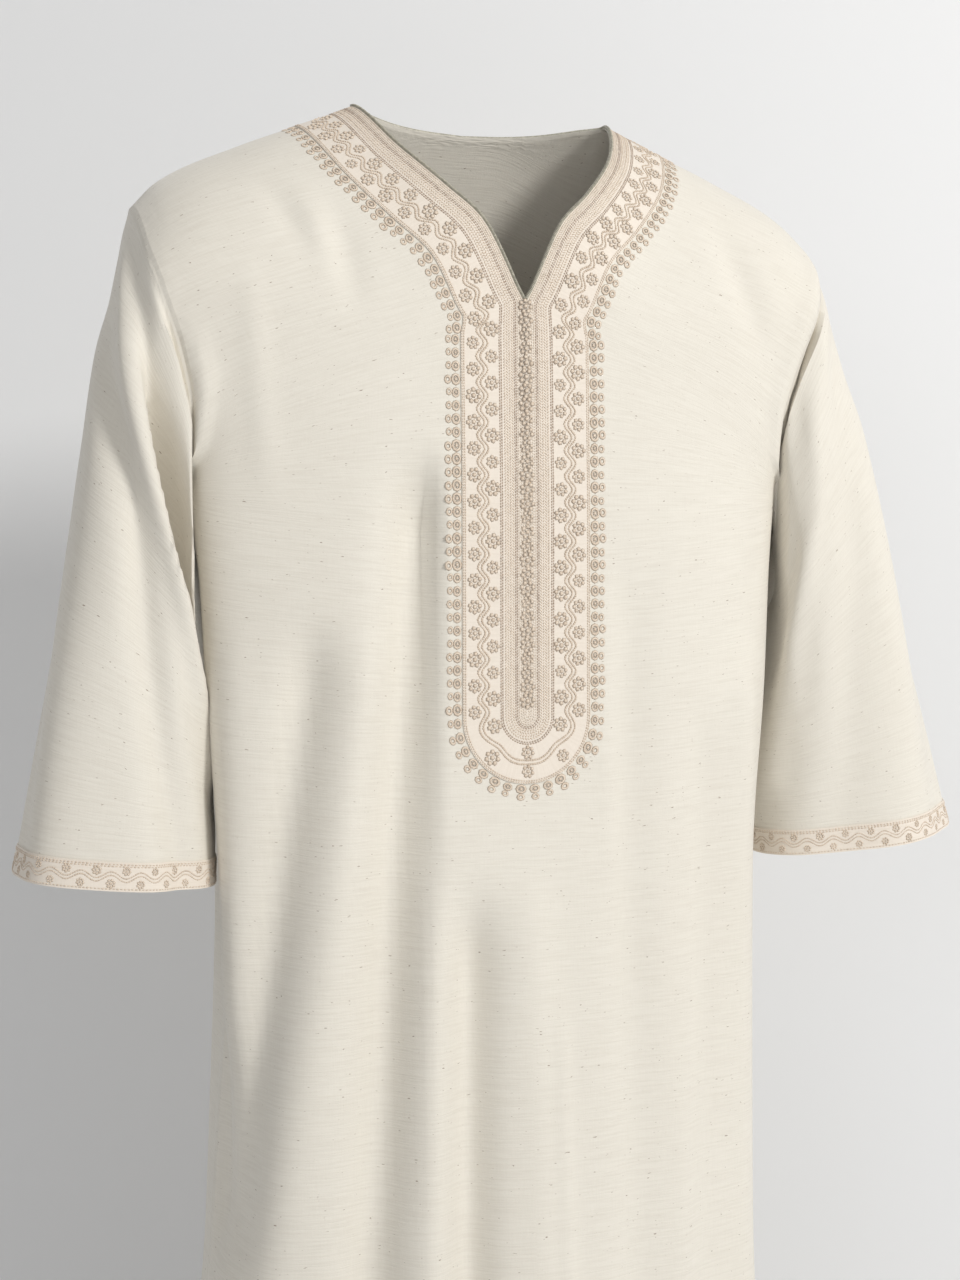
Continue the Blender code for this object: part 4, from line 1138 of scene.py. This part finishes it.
def sewing_tree(name, along_path):
    """A tree that sets motifs along a path, or on places that have a heading."""
    inputs = [("Geometry", "NodeSocketGeometry", None), ("Motif", "NodeSocketObject", None),
              ("Length", "NodeSocketFloat", 1.0), ("Width", "NodeSocketFloat", 1.0),
              ("Height", "NodeSocketFloat", 1.0), ("Slant", "NodeSocketFloat", 0.0),
              ("Unevenness", "NodeSocketFloat", 0.1), ("Seed", "NodeSocketInt", 1),
              ("Thread", "NodeSocketMaterial", None)]
    if along_path:
        inputs.insert(2, ("Spacing", "NodeSocketFloat", 0.002))
    tree, start, end = open_group(name, inputs, [("Geometry", "NodeSocketGeometry")],
                                  "GeometryNodeTree")
    tree.is_modifier = True
    link = tree.links.new
    facing = add_node(tree, "GeometryNodeInputNamedAttribute", data_type="FLOAT_VECTOR",
                      values={"Name": "facing"}).outputs["Attribute"]
    if along_path:
        curve = add_node(tree, "GeometryNodeMeshToCurve")
        spaced = add_node(tree, "GeometryNodeResampleCurve", mode="LENGTH")
        link(start.outputs["Geometry"], curve.inputs["Mesh"])
        link(curve.outputs["Curve"], spaced.inputs["Curve"])
        link(start.outputs["Spacing"], spaced.inputs["Length"])
        points = spaced.outputs["Curve"]
        heading = add_node(tree, "GeometryNodeInputTangent").outputs["Tangent"]
    else:
        points = start.outputs["Geometry"]
        heading = add_node(tree, "GeometryNodeInputNamedAttribute", data_type="FLOAT_VECTOR",
                           values={"Name": "heading"}).outputs["Attribute"]
    axes = add_node(tree, "FunctionNodeAxesToRotation", primary_axis="Z", secondary_axis="X")
    link(facing, axes.inputs["Primary Axis"])
    link(heading, axes.inputs["Secondary Axis"])
    wobble = add_node(tree, "FunctionNodeRandomValue", data_type="FLOAT")
    spread = add_node(tree, "ShaderNodeMath", operation="MULTIPLY", values={1: -1.0})
    link(start.outputs["Unevenness"], spread.inputs[0])
    link(spread.outputs[0], wobble.inputs[2])
    link(start.outputs["Unevenness"], wobble.inputs[3])
    link(start.outputs["Seed"], wobble.inputs["Seed"])
    angle = add_node(tree, "ShaderNodeMath", operation="ADD")
    link(start.outputs["Slant"], angle.inputs[0])
    link(wobble.outputs[1], angle.inputs[1])
    turn = add_node(tree, "FunctionNodeAxisAngleToRotation", values={"Axis": (0, 0, 1)})
    link(angle.outputs[0], turn.inputs["Angle"])
    turned = add_node(tree, "FunctionNodeRotateRotation", rotation_space="LOCAL")
    link(axes.outputs["Rotation"], turned.inputs["Rotation"])
    link(turn.outputs["Rotation"], turned.inputs["Rotate By"])
    size = add_node(tree, "ShaderNodeCombineXYZ")
    for axis, label in zip("XYZ", ("Length", "Width", "Height")):
        link(start.outputs[label], size.inputs[axis])
    grow = add_node(tree, "FunctionNodeRandomValue", data_type="FLOAT",
                    values={2: 0.88, 3: 1.12})
    link(start.outputs["Seed"], grow.inputs["Seed"])
    scaled = add_node(tree, "ShaderNodeVectorMath", operation="SCALE")
    link(size.outputs["Vector"], scaled.inputs[0])
    link(grow.outputs[1], scaled.inputs["Scale"])
    shape = add_node(tree, "GeometryNodeObjectInfo")
    link(start.outputs["Motif"], shape.inputs["Object"])
    placed = add_node(tree, "GeometryNodeInstanceOnPoints")
    link(points, placed.inputs["Points"])
    link(shape.outputs["Geometry"], placed.inputs["Instance"])
    link(turned.outputs["Rotation"], placed.inputs["Rotation"])
    link(scaled.outputs["Vector"], placed.inputs["Scale"])
    real = add_node(tree, "GeometryNodeRealizeInstances")
    link(placed.outputs["Instances"], real.inputs["Geometry"])
    finish = add_node(tree, "GeometryNodeSetMaterial")
    link(real.outputs["Geometry"], finish.inputs["Geometry"])
    link(start.outputs["Thread"], finish.inputs["Material"])
    link(finish.outputs["Geometry"], end.inputs["Geometry"])
    return tree


sew_path = sewing_tree("Sew along a path", True)
sew_places = sewing_tree("Sew on places", False)


def marked_mesh(lines, join):
    """A mesh of places, with the way that the cloth faces and the heading at each."""
    places = np.concatenate([line[0] for line in lines])
    facings = np.concatenate([line[1] for line in lines])
    edges, first = [], 0
    for line in lines:
        count = len(line[0])
        if join:
            edges += [(first + k, first + k + 1) for k in range(count - 1)]
        first += count
    mesh = bpy.data.meshes.new("marks")
    mesh.from_pydata(places.tolist(), edges, [])
    marks = mesh.attributes.new("facing", "FLOAT_VECTOR", "POINT")
    marks.data.foreach_set("vector", facings.astype(np.float32).ravel())
    if not join:
        headings = np.concatenate([line[2] for line in lines])
        marks = mesh.attributes.new("heading", "FLOAT_VECTOR", "POINT")
        marks.data.foreach_set("vector", headings.astype(np.float32).ravel())
    return mesh


def sewn(tree, lines, **values):
    """Run a sewing tree on lines of marks and return the plain mesh that it makes."""
    marks = bpy.data.objects.new("marks", marked_mesh(lines, tree is sew_path))
    scene.collection.objects.link(marks)
    modifier = marks.modifiers.new("Sew", "NODES")
    modifier.node_group = tree
    for item in tree.interface.items_tree:
        key = item.name.lower()
        if item.in_out == "INPUT" and key in values:
            modifier[item.identifier] = values[key]
    depsgraph = bpy.context.evaluated_depsgraph_get()
    mesh = bpy.data.meshes.new_from_object(marks.evaluated_get(depsgraph), depsgraph=depsgraph)
    bpy.data.objects.remove(marks, do_unlink=True)
    return mesh


def sewn_piece(name, meshes, thread):
    """Join sewn meshes into one piece of one thread."""
    form = bmesh.new()
    for mesh in meshes:
        form.from_mesh(mesh)
    for face in form.faces:
        face.smooth = True
    joined = bpy.data.meshes.new(name)
    form.to_mesh(joined)
    form.free()
    joined.materials.clear()
    joined.materials.append(thread)
    for mesh in meshes:
        bpy.data.meshes.remove(mesh)
    piece = bpy.data.objects.new(name, joined)
    scene.collection.objects.link(piece)
    print(name, len(joined.polygons), "faces")
    return piece


# %% [markdown]
# ## The neck and placket embroidery
#
# A strip of tinted ground lies on the front under the work. On it, from the neck edge
# out, come a wound piping, slanted rows, a line, a braid of crossed stitches, a second
# line, rosettes on both sides of a double wave, the outer line, and then the loops
# straight on the cloth. The wave swings away from each rosette, so both read one
# phase, which runs unevenly round the placket's foot and evenly above it.

# %% Ground of the band
GROUND_LIFT = 0.0009
GROUND_EDGE = 0.0500


def band_ground():
    """The tinted strip under the work, from the neck edge to past the outer line."""
    sheets = []
    inside = np.append(BAND_STEPS[BAND_STEPS < GROUND_EDGE - 0.001], GROUND_EDGE)
    for side in (1.0, -1.0):
        points, normals = band[side]
        low = np.clip((inside / BAND_STEPS[1]).astype(int), 0, len(BAND_STEPS) - 2)
        share = (inside / BAND_STEPS[1] - low)[None, :, None]
        strip = points[:, low] * (1 - share) + points[:, low + 1] * share
        ways = unit(normals[:, low] * (1 - share) + normals[:, low + 1] * share)
        flat = flat_places(strip, side)
        seam = np.full(strip.shape[:2], 1.0)
        sheets.append((strip + ways * GROUND_LIFT, ways, flat, seam, side < 0))
    return cloth_piece("band_ground", sheets, band_cloth, (NECK_ROWS, len(band[1.0][0])),
                       GROUND_LIFT - 0.0002)


ground = band_ground()

# %% Lines, rows and braid
PATH_STEP = 0.0025
NECK_START = 0.004


def band_line(across, measure_distance=None, low=0.0, high=None, lift=GROUND_LIFT, swing=None):
    """Marks along the band on both sides of the foot at one distance across."""
    measure = reach_at(measure_distance or across)
    high = (high or float(measure[0])) - NECK_START
    lines = []
    if low == 0.0:
        along = np.arange(-high, high, PATH_STEP)
        spans = [along]
    else:
        spans = [np.arange(low, high, PATH_STEP), -np.arange(low, high, PATH_STEP)]
    for along in spans:
        place = across if swing is None else across + swing(along)
        points, normals = band_place(along, place, measure)
        lines.append((points + normals * lift, normals))
    return lines


def v_reach(across):
    """Length from the foot's middle to the row of the V's point, at this distance."""
    return float(reach_at(across)[NECK_ROWS])


dark_meshes, light_meshes, pale_meshes = [], [], []
for k, across in enumerate((0.0078, 0.0091, 0.0192, 0.0206)):
    dark_meshes.append(sewn(sew_path, band_line(across), motif=stitch, spacing=0.0021,
                            length=0.0019, width=0.0011, height=0.0005, slant=0.0,
                            unevenness=0.12, seed=k, thread=dark_thread))
for k, across in enumerate((0.0478, 0.0492)):
    light_meshes.append(sewn(sew_path, band_line(across), motif=stitch, spacing=0.0020,
                             length=0.0018, width=0.0011, height=0.0005, slant=0.0,
                             unevenness=0.12, seed=10 + k, thread=light_thread))
for k, (across, slant) in enumerate(((0.0108, 0.75), (0.0128, -0.75), (0.0148, 0.75),
                                     (0.0168, -0.75))):
    light_meshes.append(sewn(sew_path, band_line(across), motif=stitch, spacing=0.0021,
                             length=0.0024, width=0.0010, height=0.0005, slant=slant,
                             unevenness=0.15, seed=20 + k, thread=light_thread))
for k, (across, slant) in enumerate(((0.0030, 0.6), (0.0046, -0.6), (0.0062, 0.6))):
    pale_meshes.append(sewn(sew_path, band_line(across, low=v_reach(across) + 0.001),
                            motif=stitch, spacing=0.0018, length=0.0021, width=0.0011,
                            height=0.0005, slant=slant, unevenness=0.15, seed=30 + k,
                            thread=pale_thread))
for k, (across, slant) in enumerate(((0.0012, 0.6), (0.0029, -0.6), (0.0046, 0.6),
                                     (0.0063, -0.6))):
    pale_meshes.append(sewn(sew_path, band_line(across, high=v_reach(across) + NECK_START),
                            motif=stitch, spacing=0.0020, length=0.0021, width=0.0010,
                            height=0.0005, slant=slant, unevenness=0.25, seed=35 + k,
                            thread=pale_thread))

# %% The double wave and its phase
ROSETTE_PITCH = 0.0193
WAVE_SWING = 0.0030
WAVE_GAP = 0.0030
FOOT_PHASES = table("along phase", [
    (0.0000, 0.0), (0.0255, 0.5), (0.0450, 1.0), (0.0573, 1.5), (0.0670, 2.0),
])


def phase_at(along):
    """How many rosettes of the inner row lie between the foot's middle and here."""
    along = np.abs(along)
    last = FOOT_PHASES["along"][-1]
    near = np.interp(along, FOOT_PHASES["along"], FOOT_PHASES["phase"])
    return np.where(along > last, FOOT_PHASES["phase"][-1] + (along - last) / ROSETTE_PITCH,
                    near)


def along_at(phase):
    """The place along the band of a phase."""
    last = FOOT_PHASES["phase"][-1]
    near = np.interp(phase, FOOT_PHASES["phase"], FOOT_PHASES["along"])
    return np.where(phase > last, FOOT_PHASES["along"][-1] + (phase - last) * ROSETTE_PITCH,
                    near)


def wave_swing(along):
    return WAVE_SWING * ease(np.abs(along), 0.0, 0.030) * np.cos(2 * math.pi * phase_at(along))


for k, offset in enumerate((-0.5 * WAVE_GAP, 0.5 * WAVE_GAP)):
    light_meshes.append(sewn(
        sew_path, band_line(WAVE_LINE + offset, measure_distance=WAVE_LINE, swing=wave_swing),
        motif=stitch, spacing=0.0018, length=0.0020, width=0.0016, height=0.0007, slant=0.0,
        unevenness=0.20, seed=40 + k, thread=light_thread))

neck_dark = sewn_piece("neck_dark_lines", dark_meshes, dark_thread)
neck_light = sewn_piece("neck_light_stitches", light_meshes, light_thread)
neck_pale = sewn_piece("neck_pale_rows", pale_meshes, pale_thread)

# %% Rosettes and loops
INNER_ROSETTES, OUTER_ROSETTES = 0.0267, 0.0408
ROSETTE_RADIUS = 0.0058
CENTRE_PITCH, CENTRE_RADIUS = 0.0104, 0.0060
LOOP_LINE, LOOP_PITCH = 0.0540, 0.00965


def band_marks(along, across, measure, lift, outward=False):
    """Marks on single places of the band, heading along it or out from it."""
    along, across = np.broadcast_arrays(np.asarray(along, float), np.asarray(across, float))
    points, normals = band_place(along, across, measure)
    nudge = 0.0008
    if outward:
        ahead, _ = band_place(along, across + nudge, measure)
    else:
        ahead, _ = band_place(along + nudge, across, measure)
    return points + normals * lift, normals, unit(ahead - points)


def both_sides(values, skip_middle=False):
    values = np.asarray(values)
    return np.concatenate([values, -(values[1:] if skip_middle else values)])


reach = float(wave_measure[0]) - 0.006
inner = along_at(np.arange(0.0, 60.0))
outer = along_at(np.arange(0.5, 60.0))
inner = both_sides(inner[inner < reach], skip_middle=True)
outer = np.append(both_sides(outer[outer < reach]), 0.0)
rosette_marks = [band_marks(inner, INNER_ROSETTES, wave_measure, GROUND_LIFT),
                 band_marks(outer, OUTER_ROSETTES, wave_measure, GROUND_LIFT)]
centre_length = PLACKET_END_DROP - NECKLINE["drop"][-1]
steps = np.arange(centre_length - 0.0055, 0.001, -CENTRE_PITCH)
centre_rows = reach_at(0.0)
rosette_meshes = [
    sewn(sew_places, rosette_marks, motif=rosette, length=ROSETTE_RADIUS,
         width=ROSETTE_RADIUS, height=0.0040, slant=0.0, unevenness=0.5, seed=50,
         thread=light_thread),
    sewn(sew_places, [band_marks(steps, 0.0, centre_rows, GROUND_LIFT + 0.0002)],
         motif=rosette, length=CENTRE_RADIUS, width=CENTRE_RADIUS, height=0.0040, slant=0.0,
         unevenness=0.5, seed=51, thread=light_thread),
]
neck_rosettes = sewn_piece("neck_rosettes", rosette_meshes, light_thread)

loops = both_sides(np.arange(0.5 * LOOP_PITCH, float(loop_measure[0]) - 0.004, LOOP_PITCH))
neck_loops = sewn_piece("neck_loops", [
    sewn(sew_places, [band_marks(loops, LOOP_LINE, loop_measure, 0.0001, outward=True)],
         motif=loop, length=1.0, width=1.25, height=1.0, slant=0.0, unevenness=0.12,
         seed=60, thread=light_thread)], light_thread)
print("rosettes:", len(inner) + len(outer) + len(steps), "loops:", len(loops))

# %% [markdown]
# ## The piping and the back neck
#
# The neck edge is bound with a fine cord that thread winds round. It runs up one side
# of the V, behind the neck and down the other side, so it is one path. A curve with a
# round profile makes the cord, and the sewing tree winds the stitches over it.

# %% The wound piping
PIPING_RADIUS = 0.0013
PIPING_OUT = 0.0006


def piping_tree():
    """A tree that turns a path into a round cord."""
    tree, start, end = open_group("Cord along a path", [
        ("Geometry", "NodeSocketGeometry", None), ("Radius", "NodeSocketFloat", 0.001),
        ("Thread", "NodeSocketMaterial", None)],
        [("Geometry", "NodeSocketGeometry")], "GeometryNodeTree")
    tree.is_modifier = True
    link = tree.links.new
    curve = add_node(tree, "GeometryNodeMeshToCurve")
    profile = add_node(tree, "GeometryNodeCurvePrimitiveCircle", mode="RADIUS",
                       values={"Resolution": 8})
    solid = add_node(tree, "GeometryNodeCurveToMesh", values={"Fill Caps": True})
    real = add_node(tree, "GeometryNodeRealizeInstances")
    finish = add_node(tree, "GeometryNodeSetMaterial")
    link(start.outputs["Geometry"], curve.inputs["Mesh"])
    link(start.outputs["Radius"], profile.inputs["Radius"])
    link(curve.outputs["Curve"], solid.inputs["Curve"])
    link(profile.outputs["Curve"], solid.inputs["Profile Curve"])
    link(solid.outputs["Mesh"], real.inputs["Geometry"])
    link(real.outputs["Geometry"], finish.inputs["Geometry"])
    link(start.outputs["Thread"], finish.inputs["Material"])
    link(finish.outputs["Geometry"], end.inputs["Geometry"])
    return tree


def neck_edge(across, lift):
    """The neck edge as one line: up the left of the V, round the back, down the right."""
    low = v_reach(across) + 0.0005
    along = np.arange(low, float(reach_at(across)[0]) - 0.001, PATH_STEP)
    measure = reach_at(across)
    left, left_ways = band_place(along, across, measure)
    right, right_ways = band_place(-along, across, measure)
    back, back_ways = [], []
    for side, columns in ((1.0, slice(BACK_NECK_CELLS - 1, 0, -1)),
                          (-1.0, slice(0, BACK_NECK_CELLS))):
        top, below = back_points[side][0, columns], back_points[side][1, columns]
        back.append(top + unit(below - top) * across)
        back_ways.append(back_normals[side][0, columns])
    points = np.concatenate([left, *back, right[::-1]])
    ways = unit(np.concatenate([left_ways, *back_ways, right_ways[::-1]]))
    return [(points + ways * lift, ways)]


cord_tree = piping_tree()
cord = neck_edge(PIPING_OUT, PIPING_RADIUS * 0.5)


def cord_mesh(lines, radius, thread):
    """Run the cord tree on a line of marks."""
    marks = bpy.data.objects.new("marks", marked_mesh(lines, True))
    scene.collection.objects.link(marks)
    modifier = marks.modifiers.new("Cord", "NODES")
    modifier.node_group = cord_tree
    for item in cord_tree.interface.items_tree:
        if item.in_out == "INPUT" and item.name in ("Radius", "Thread"):
            modifier[item.identifier] = radius if item.name == "Radius" else thread
    depsgraph = bpy.context.evaluated_depsgraph_get()
    mesh = bpy.data.meshes.new_from_object(marks.evaluated_get(depsgraph), depsgraph=depsgraph)
    bpy.data.objects.remove(marks, do_unlink=True)
    return mesh


wound = neck_edge(PIPING_OUT, PIPING_RADIUS * 1.35)
neck_piping = sewn_piece("neck_piping", [
    cord_mesh(cord, PIPING_RADIUS, edge_thread),
    sewn(sew_path, wound, motif=stitch, spacing=0.0013, length=0.0024, width=0.0010,
         height=0.0006, slant=1.0, unevenness=0.12, seed=70, thread=edge_thread)],
    edge_thread)

# %% The back neck edging
EDGING_WIDTH, EDGING_LIFT, EDGING_ROWS = 0.008, 0.0010, 4


def edging_grid(side):
    """Points and normals of the narrow strip behind the neck."""
    top = back_points[side][0, :BACK_NECK_CELLS + 1]
    down = unit(back_points[side][1, :BACK_NECK_CELLS + 1] - top)
    ways = np.broadcast_to(back_normals[side][0, :BACK_NECK_CELLS + 1],
                           (EDGING_ROWS + 1, BACK_NECK_CELLS + 1, 3))
    steps = np.linspace(0.0, EDGING_WIDTH, EDGING_ROWS + 1)[:, None, None]
    return top + down * steps, ways


sheets = []
for side in (1.0, -1.0):
    points, ways = edging_grid(side)
    sheets.append((points + ways * EDGING_LIFT, ways, flat_places(points, side),
                   np.full(points.shape[:2], 1.0), side > 0))
back_edging = cloth_piece("back_edging", sheets, band_cloth, (0, EDGING_ROWS), 0.0007)


def back_line(across):
    """A line of marks on the back neck's strip."""
    points, ways = zip(*(edging_grid(side) for side in (1.0, -1.0)))
    share = across / EDGING_WIDTH * EDGING_ROWS
    low = int(share)
    rows = [p[low] + (p[low + 1] - p[low]) * (share - low) + w[low] * EDGING_LIFT
            for p, w in zip(points, ways)]
    line = np.concatenate([rows[0][:0:-1], rows[1]])
    faces = np.concatenate([ways[0][0][:0:-1], ways[1][0]])
    return [(line[1:-1], faces[1:-1])]


back_stitches = sewn_piece("back_neck_stitches", [
    sewn(sew_path, back_line(across), motif=stitch, spacing=0.0018, length=0.0021,
         width=0.0011, height=0.0005, slant=slant, unevenness=0.15, seed=80 + k,
         thread=pale_thread)
    for k, (across, slant) in enumerate(((0.0028, 0.6), (0.0046, -0.6), (0.0068, 0.0)))],
    pale_thread)

# %% [markdown]
# ## The cuffs
#
# Each cuff has a narrow band: a stitched line near each edge, and a double wave that
# winds between small rosettes above and below it. The same two trees sew it, round
# the sleeve's end this time.

# %% Cuff bands
CUFF_ROSETTE_RADIUS = 0.0034
CUFF_PITCH = 0.0210
CUFF_SWING = 0.0022


def cuff_grid(name):
    """The band's rings, top first, closed round the sleeve."""
    rings, normals = sleeves[name]
    keep = slice(-(CUFF_CELLS + 1), None)
    return close_ring(rings[keep]), close_ring(normals[keep])


def cuff_place(name, around, height):
    """Points and normals round the cuff, at a height over its edge."""
    points, normals = cuff_grid(name)
    along = lengths_along(points[-1])
    column = np.interp(around, along, np.arange(len(along)))
    row = (1.0 - np.asarray(height) / CUFF_BAND_HEIGHT) * CUFF_CELLS
    column, row = np.broadcast_arrays(column, row)
    i = np.clip(column.astype(int), 0, len(along) - 2)
    j = np.clip(row.astype(int), 0, CUFF_CELLS - 1)
    s, t = (row - j)[..., None], (column - i)[..., None]
    found = [g[j, i] * (1 - s) * (1 - t) + g[j + 1, i] * s * (1 - t)
             + g[j, i + 1] * (1 - s) * t + g[j + 1, i + 1] * s * t for g in (points, normals)]
    return found[0], unit(found[1])


def cuff_girth(name):
    return float(lengths_along(cuff_grid(name)[0][-1])[-1])


def cuff_line(name, height, swing=None, lift=GROUND_LIFT):
    around = np.linspace(0.0, cuff_girth(name), 400)
    high = height if swing is None else height + swing(around)
    points, ways = cuff_place(name, around, high)
    return [(points + ways * lift, ways)]


cuffs = {}
for name, sleeve in SLEEVES.items():
    side = sleeve["side"]
    points, ways = cuff_grid(name)
    cuffs[name] = [cloth_piece(
        "cuff_ground_" + name, [(points + ways * GROUND_LIFT, ways, flat_places(points, side),
                                 np.full(points.shape[:2], 1.0), side > 0)],
        band_cloth, (0, 0), GROUND_LIFT - 0.0002)]
    girth = cuff_girth(name)
    count = round(girth / CUFF_PITCH)

    def cuff_swing(around, count=count, girth=girth):
        return CUFF_SWING * np.cos(2 * math.pi * count * around / girth)

    lines = [sewn(sew_path, cuff_line(name, height), motif=stitch, spacing=0.0026,
                  length=0.0021, width=0.0010, height=0.0005, slant=0.0, unevenness=0.1,
                  seed=90 + k, thread=light_thread)
             for k, height in enumerate((0.0016, 0.0184, 0.0171))]
    lines += [sewn(sew_path, cuff_line(name, height, swing=cuff_swing), motif=stitch,
                   spacing=0.0018, length=0.0019, width=0.0010, height=0.0005, slant=0.0,
                   unevenness=0.15, seed=95 + k, thread=light_thread)
              for k, height in enumerate((0.0088, 0.0112))]
    marks = []
    for height, first in ((0.0052, 0.0), (0.0140, 0.5)):
        around = (np.arange(count) + first) * girth / count
        points, ways = cuff_place(name, around, height)
        ahead, _ = cuff_place(name, around + 0.0008, height)
        marks.append((points + ways * GROUND_LIFT, ways, unit(ahead - points)))
    lines.append(sewn(sew_places, marks, motif=rosette, length=CUFF_ROSETTE_RADIUS,
                      width=CUFF_ROSETTE_RADIUS, height=0.0035, slant=0.0, unevenness=0.5,
                      seed=99, thread=light_thread))
    cuffs[name].append(sewn_piece("cuff_work_" + name, lines, light_thread))
    print("cuff", name, round(girth, 3), "m round,", count, "rosettes a row")

# %% [markdown]
# ## What each piece is in the frame
# Every finished piece rides on the one body and stands for the solid it replaces,
# which is hidden. Panels and sleeves are cloth cut to a size, so the area of one face
# of each is printed. Panels and sleeves are cloth cut
# to a size, so they also state their cut.

# %% Ride, replace and print the cloth's area
for made in (stitch, rosette, loop):
    bpy.data.objects.remove(made, do_unlink=True)

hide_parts("front_panel")
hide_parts("back_panel")
for name in SLEEVES:
    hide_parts("sleeve_" + name)
    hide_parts("cuff_band_" + name)
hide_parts("neck_embroidery")
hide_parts("back_neck_edging")

cloth_pieces = [front_cloth, back_cloth, *sleeve_cloth.values()]
work_pieces = [ground, neck_dark, neck_light, neck_pale, neck_rosettes, neck_loops,
               back_stitches, *cuffs["left"], *cuffs["right"]]
for piece in cloth_pieces + work_pieces + [neck_piping, back_edging]:
    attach(piece, "root")


def cloth_area(piece):
    """Area of one face of a piece of cloth."""
    return sum(face.area for face in piece.data.polygons) / 2.0


for piece in cloth_pieces:
    print(piece.name, round(cloth_area(piece), 3), "square metres")

# %% [markdown]
# ## The studio
#
# The robe stands in a pale studio: a seamless sweep close behind it, a large soft light
# from the front and above, a weaker one from the other side and an even pale surround.
# The near sweep takes the robe's soft shadow. It can be seen through from behind, so
# the robe's back can be looked at too.

# %% Floor, backdrop and light
FLOOR = -1.50


def paper_finish(name, colour):
    """Plain paper that can be looked through from behind, so the back can be seen."""
    material = bpy.data.materials.new(name)
    material.use_nodes = True
    tree = material.node_tree
    shader = tree.nodes["Principled BSDF"]
    shader.inputs["Base Color"].default_value = colour
    shader.inputs["Roughness"].default_value = 0.9
    behind = add_node(tree, "ShaderNodeNewGeometry").outputs["Backfacing"]
    tree.links.new(combine(tree, "SUBTRACT", 1.0, behind), shader.inputs["Alpha"])
    return material


def sweep():
    """A floor that turns up into a wall behind the robe, square to the camera."""
    profile = [(-4.0, FLOOR), (0.22, FLOOR)]
    profile += [(0.22 + 0.30 * math.sin(a), FLOOR + 0.30 * (1 - math.cos(a)))
                for a in np.linspace(0.1, 0.5 * math.pi, 14)]
    profile.append((0.52, 3.0))
    turn = math.radians(18.0)
    form = bmesh.new()
    rows = []
    for depth, height in profile:
        rows.append([form.verts.new((x * math.cos(turn) + depth * math.sin(turn),
                                     -x * math.sin(turn) + depth * math.cos(turn), height))
                     for x in (-5.0, 5.0)])
    for first, second in zip(rows, rows[1:]):
        form.faces.new((first[0], first[1], second[1], second[0])).smooth = True
    mesh = bpy.data.meshes.new("sweep")
    form.to_mesh(mesh)
    form.free()
    mesh.materials.append(paper_finish("pale paper", (0.84, 0.843, 0.85, 1.0)))
    made = bpy.data.objects.new("sweep", mesh)
    scene.collection.objects.link(made)
    return made


sweep()


def area_light(name, location, target, size, power, colour=(1.0, 1.0, 1.0)):
    data = bpy.data.lights.new(name, "AREA")
    data.shape, data.size, data.energy, data.color = "DISK", size, power, colour
    made = bpy.data.objects.new(name, data)
    made.location = location
    way = np.array(target, float) - np.array(location, float)
    flat = math.hypot(way[0], way[1])
    made.rotation_euler = (math.atan2(flat, -way[2]), 0.0, math.atan2(-way[0], way[1]))
    scene.collection.objects.link(made)


area_light("key", (1.45, -2.75, 1.25), (0.0, 0.0, -0.45), 0.8, 78.0, (1.0, 0.99, 0.965))
area_light("fill", (-2.0, -2.3, 0.5), (0.0, 0.0, -0.4), 1.4, 7.0, (1.0, 1.0, 1.0))
world = bpy.data.worlds.new("studio")
world.use_nodes = True
world.node_tree.nodes["Background"].inputs["Color"].default_value = (1.0, 1.0, 1.0, 1.0)
world.node_tree.nodes["Background"].inputs["Strength"].default_value = 0.40
scene.world = world
scene.view_settings.view_transform = "Standard"

# %% [markdown]
# ## The camera
#
# The camera stands at chest height, a little to the wearer's right, close enough for
# the hem to fall below the picture.

# %% Camera
CAMERA_TURN = math.radians(-18.0)
CAMERA_REACH, CAMERA_DROP, CAMERA_TILT = 1.40, 0.36, math.radians(2.19)
camera_data = bpy.data.cameras.new("camera")
camera_data.sensor_fit = "VERTICAL"
camera_data.sensor_height = 24.0
camera_data.lens = 24.0 * 1750.0 / 1280.0
camera = bpy.data.objects.new("camera", camera_data)
camera.location = (math.sin(CAMERA_TURN) * CAMERA_REACH,
                   -math.cos(CAMERA_TURN) * CAMERA_REACH, -CAMERA_DROP)
camera.rotation_euler = (0.5 * math.pi - CAMERA_TILT, 0.0, CAMERA_TURN)
scene.collection.objects.link(camera)
scene.camera = camera
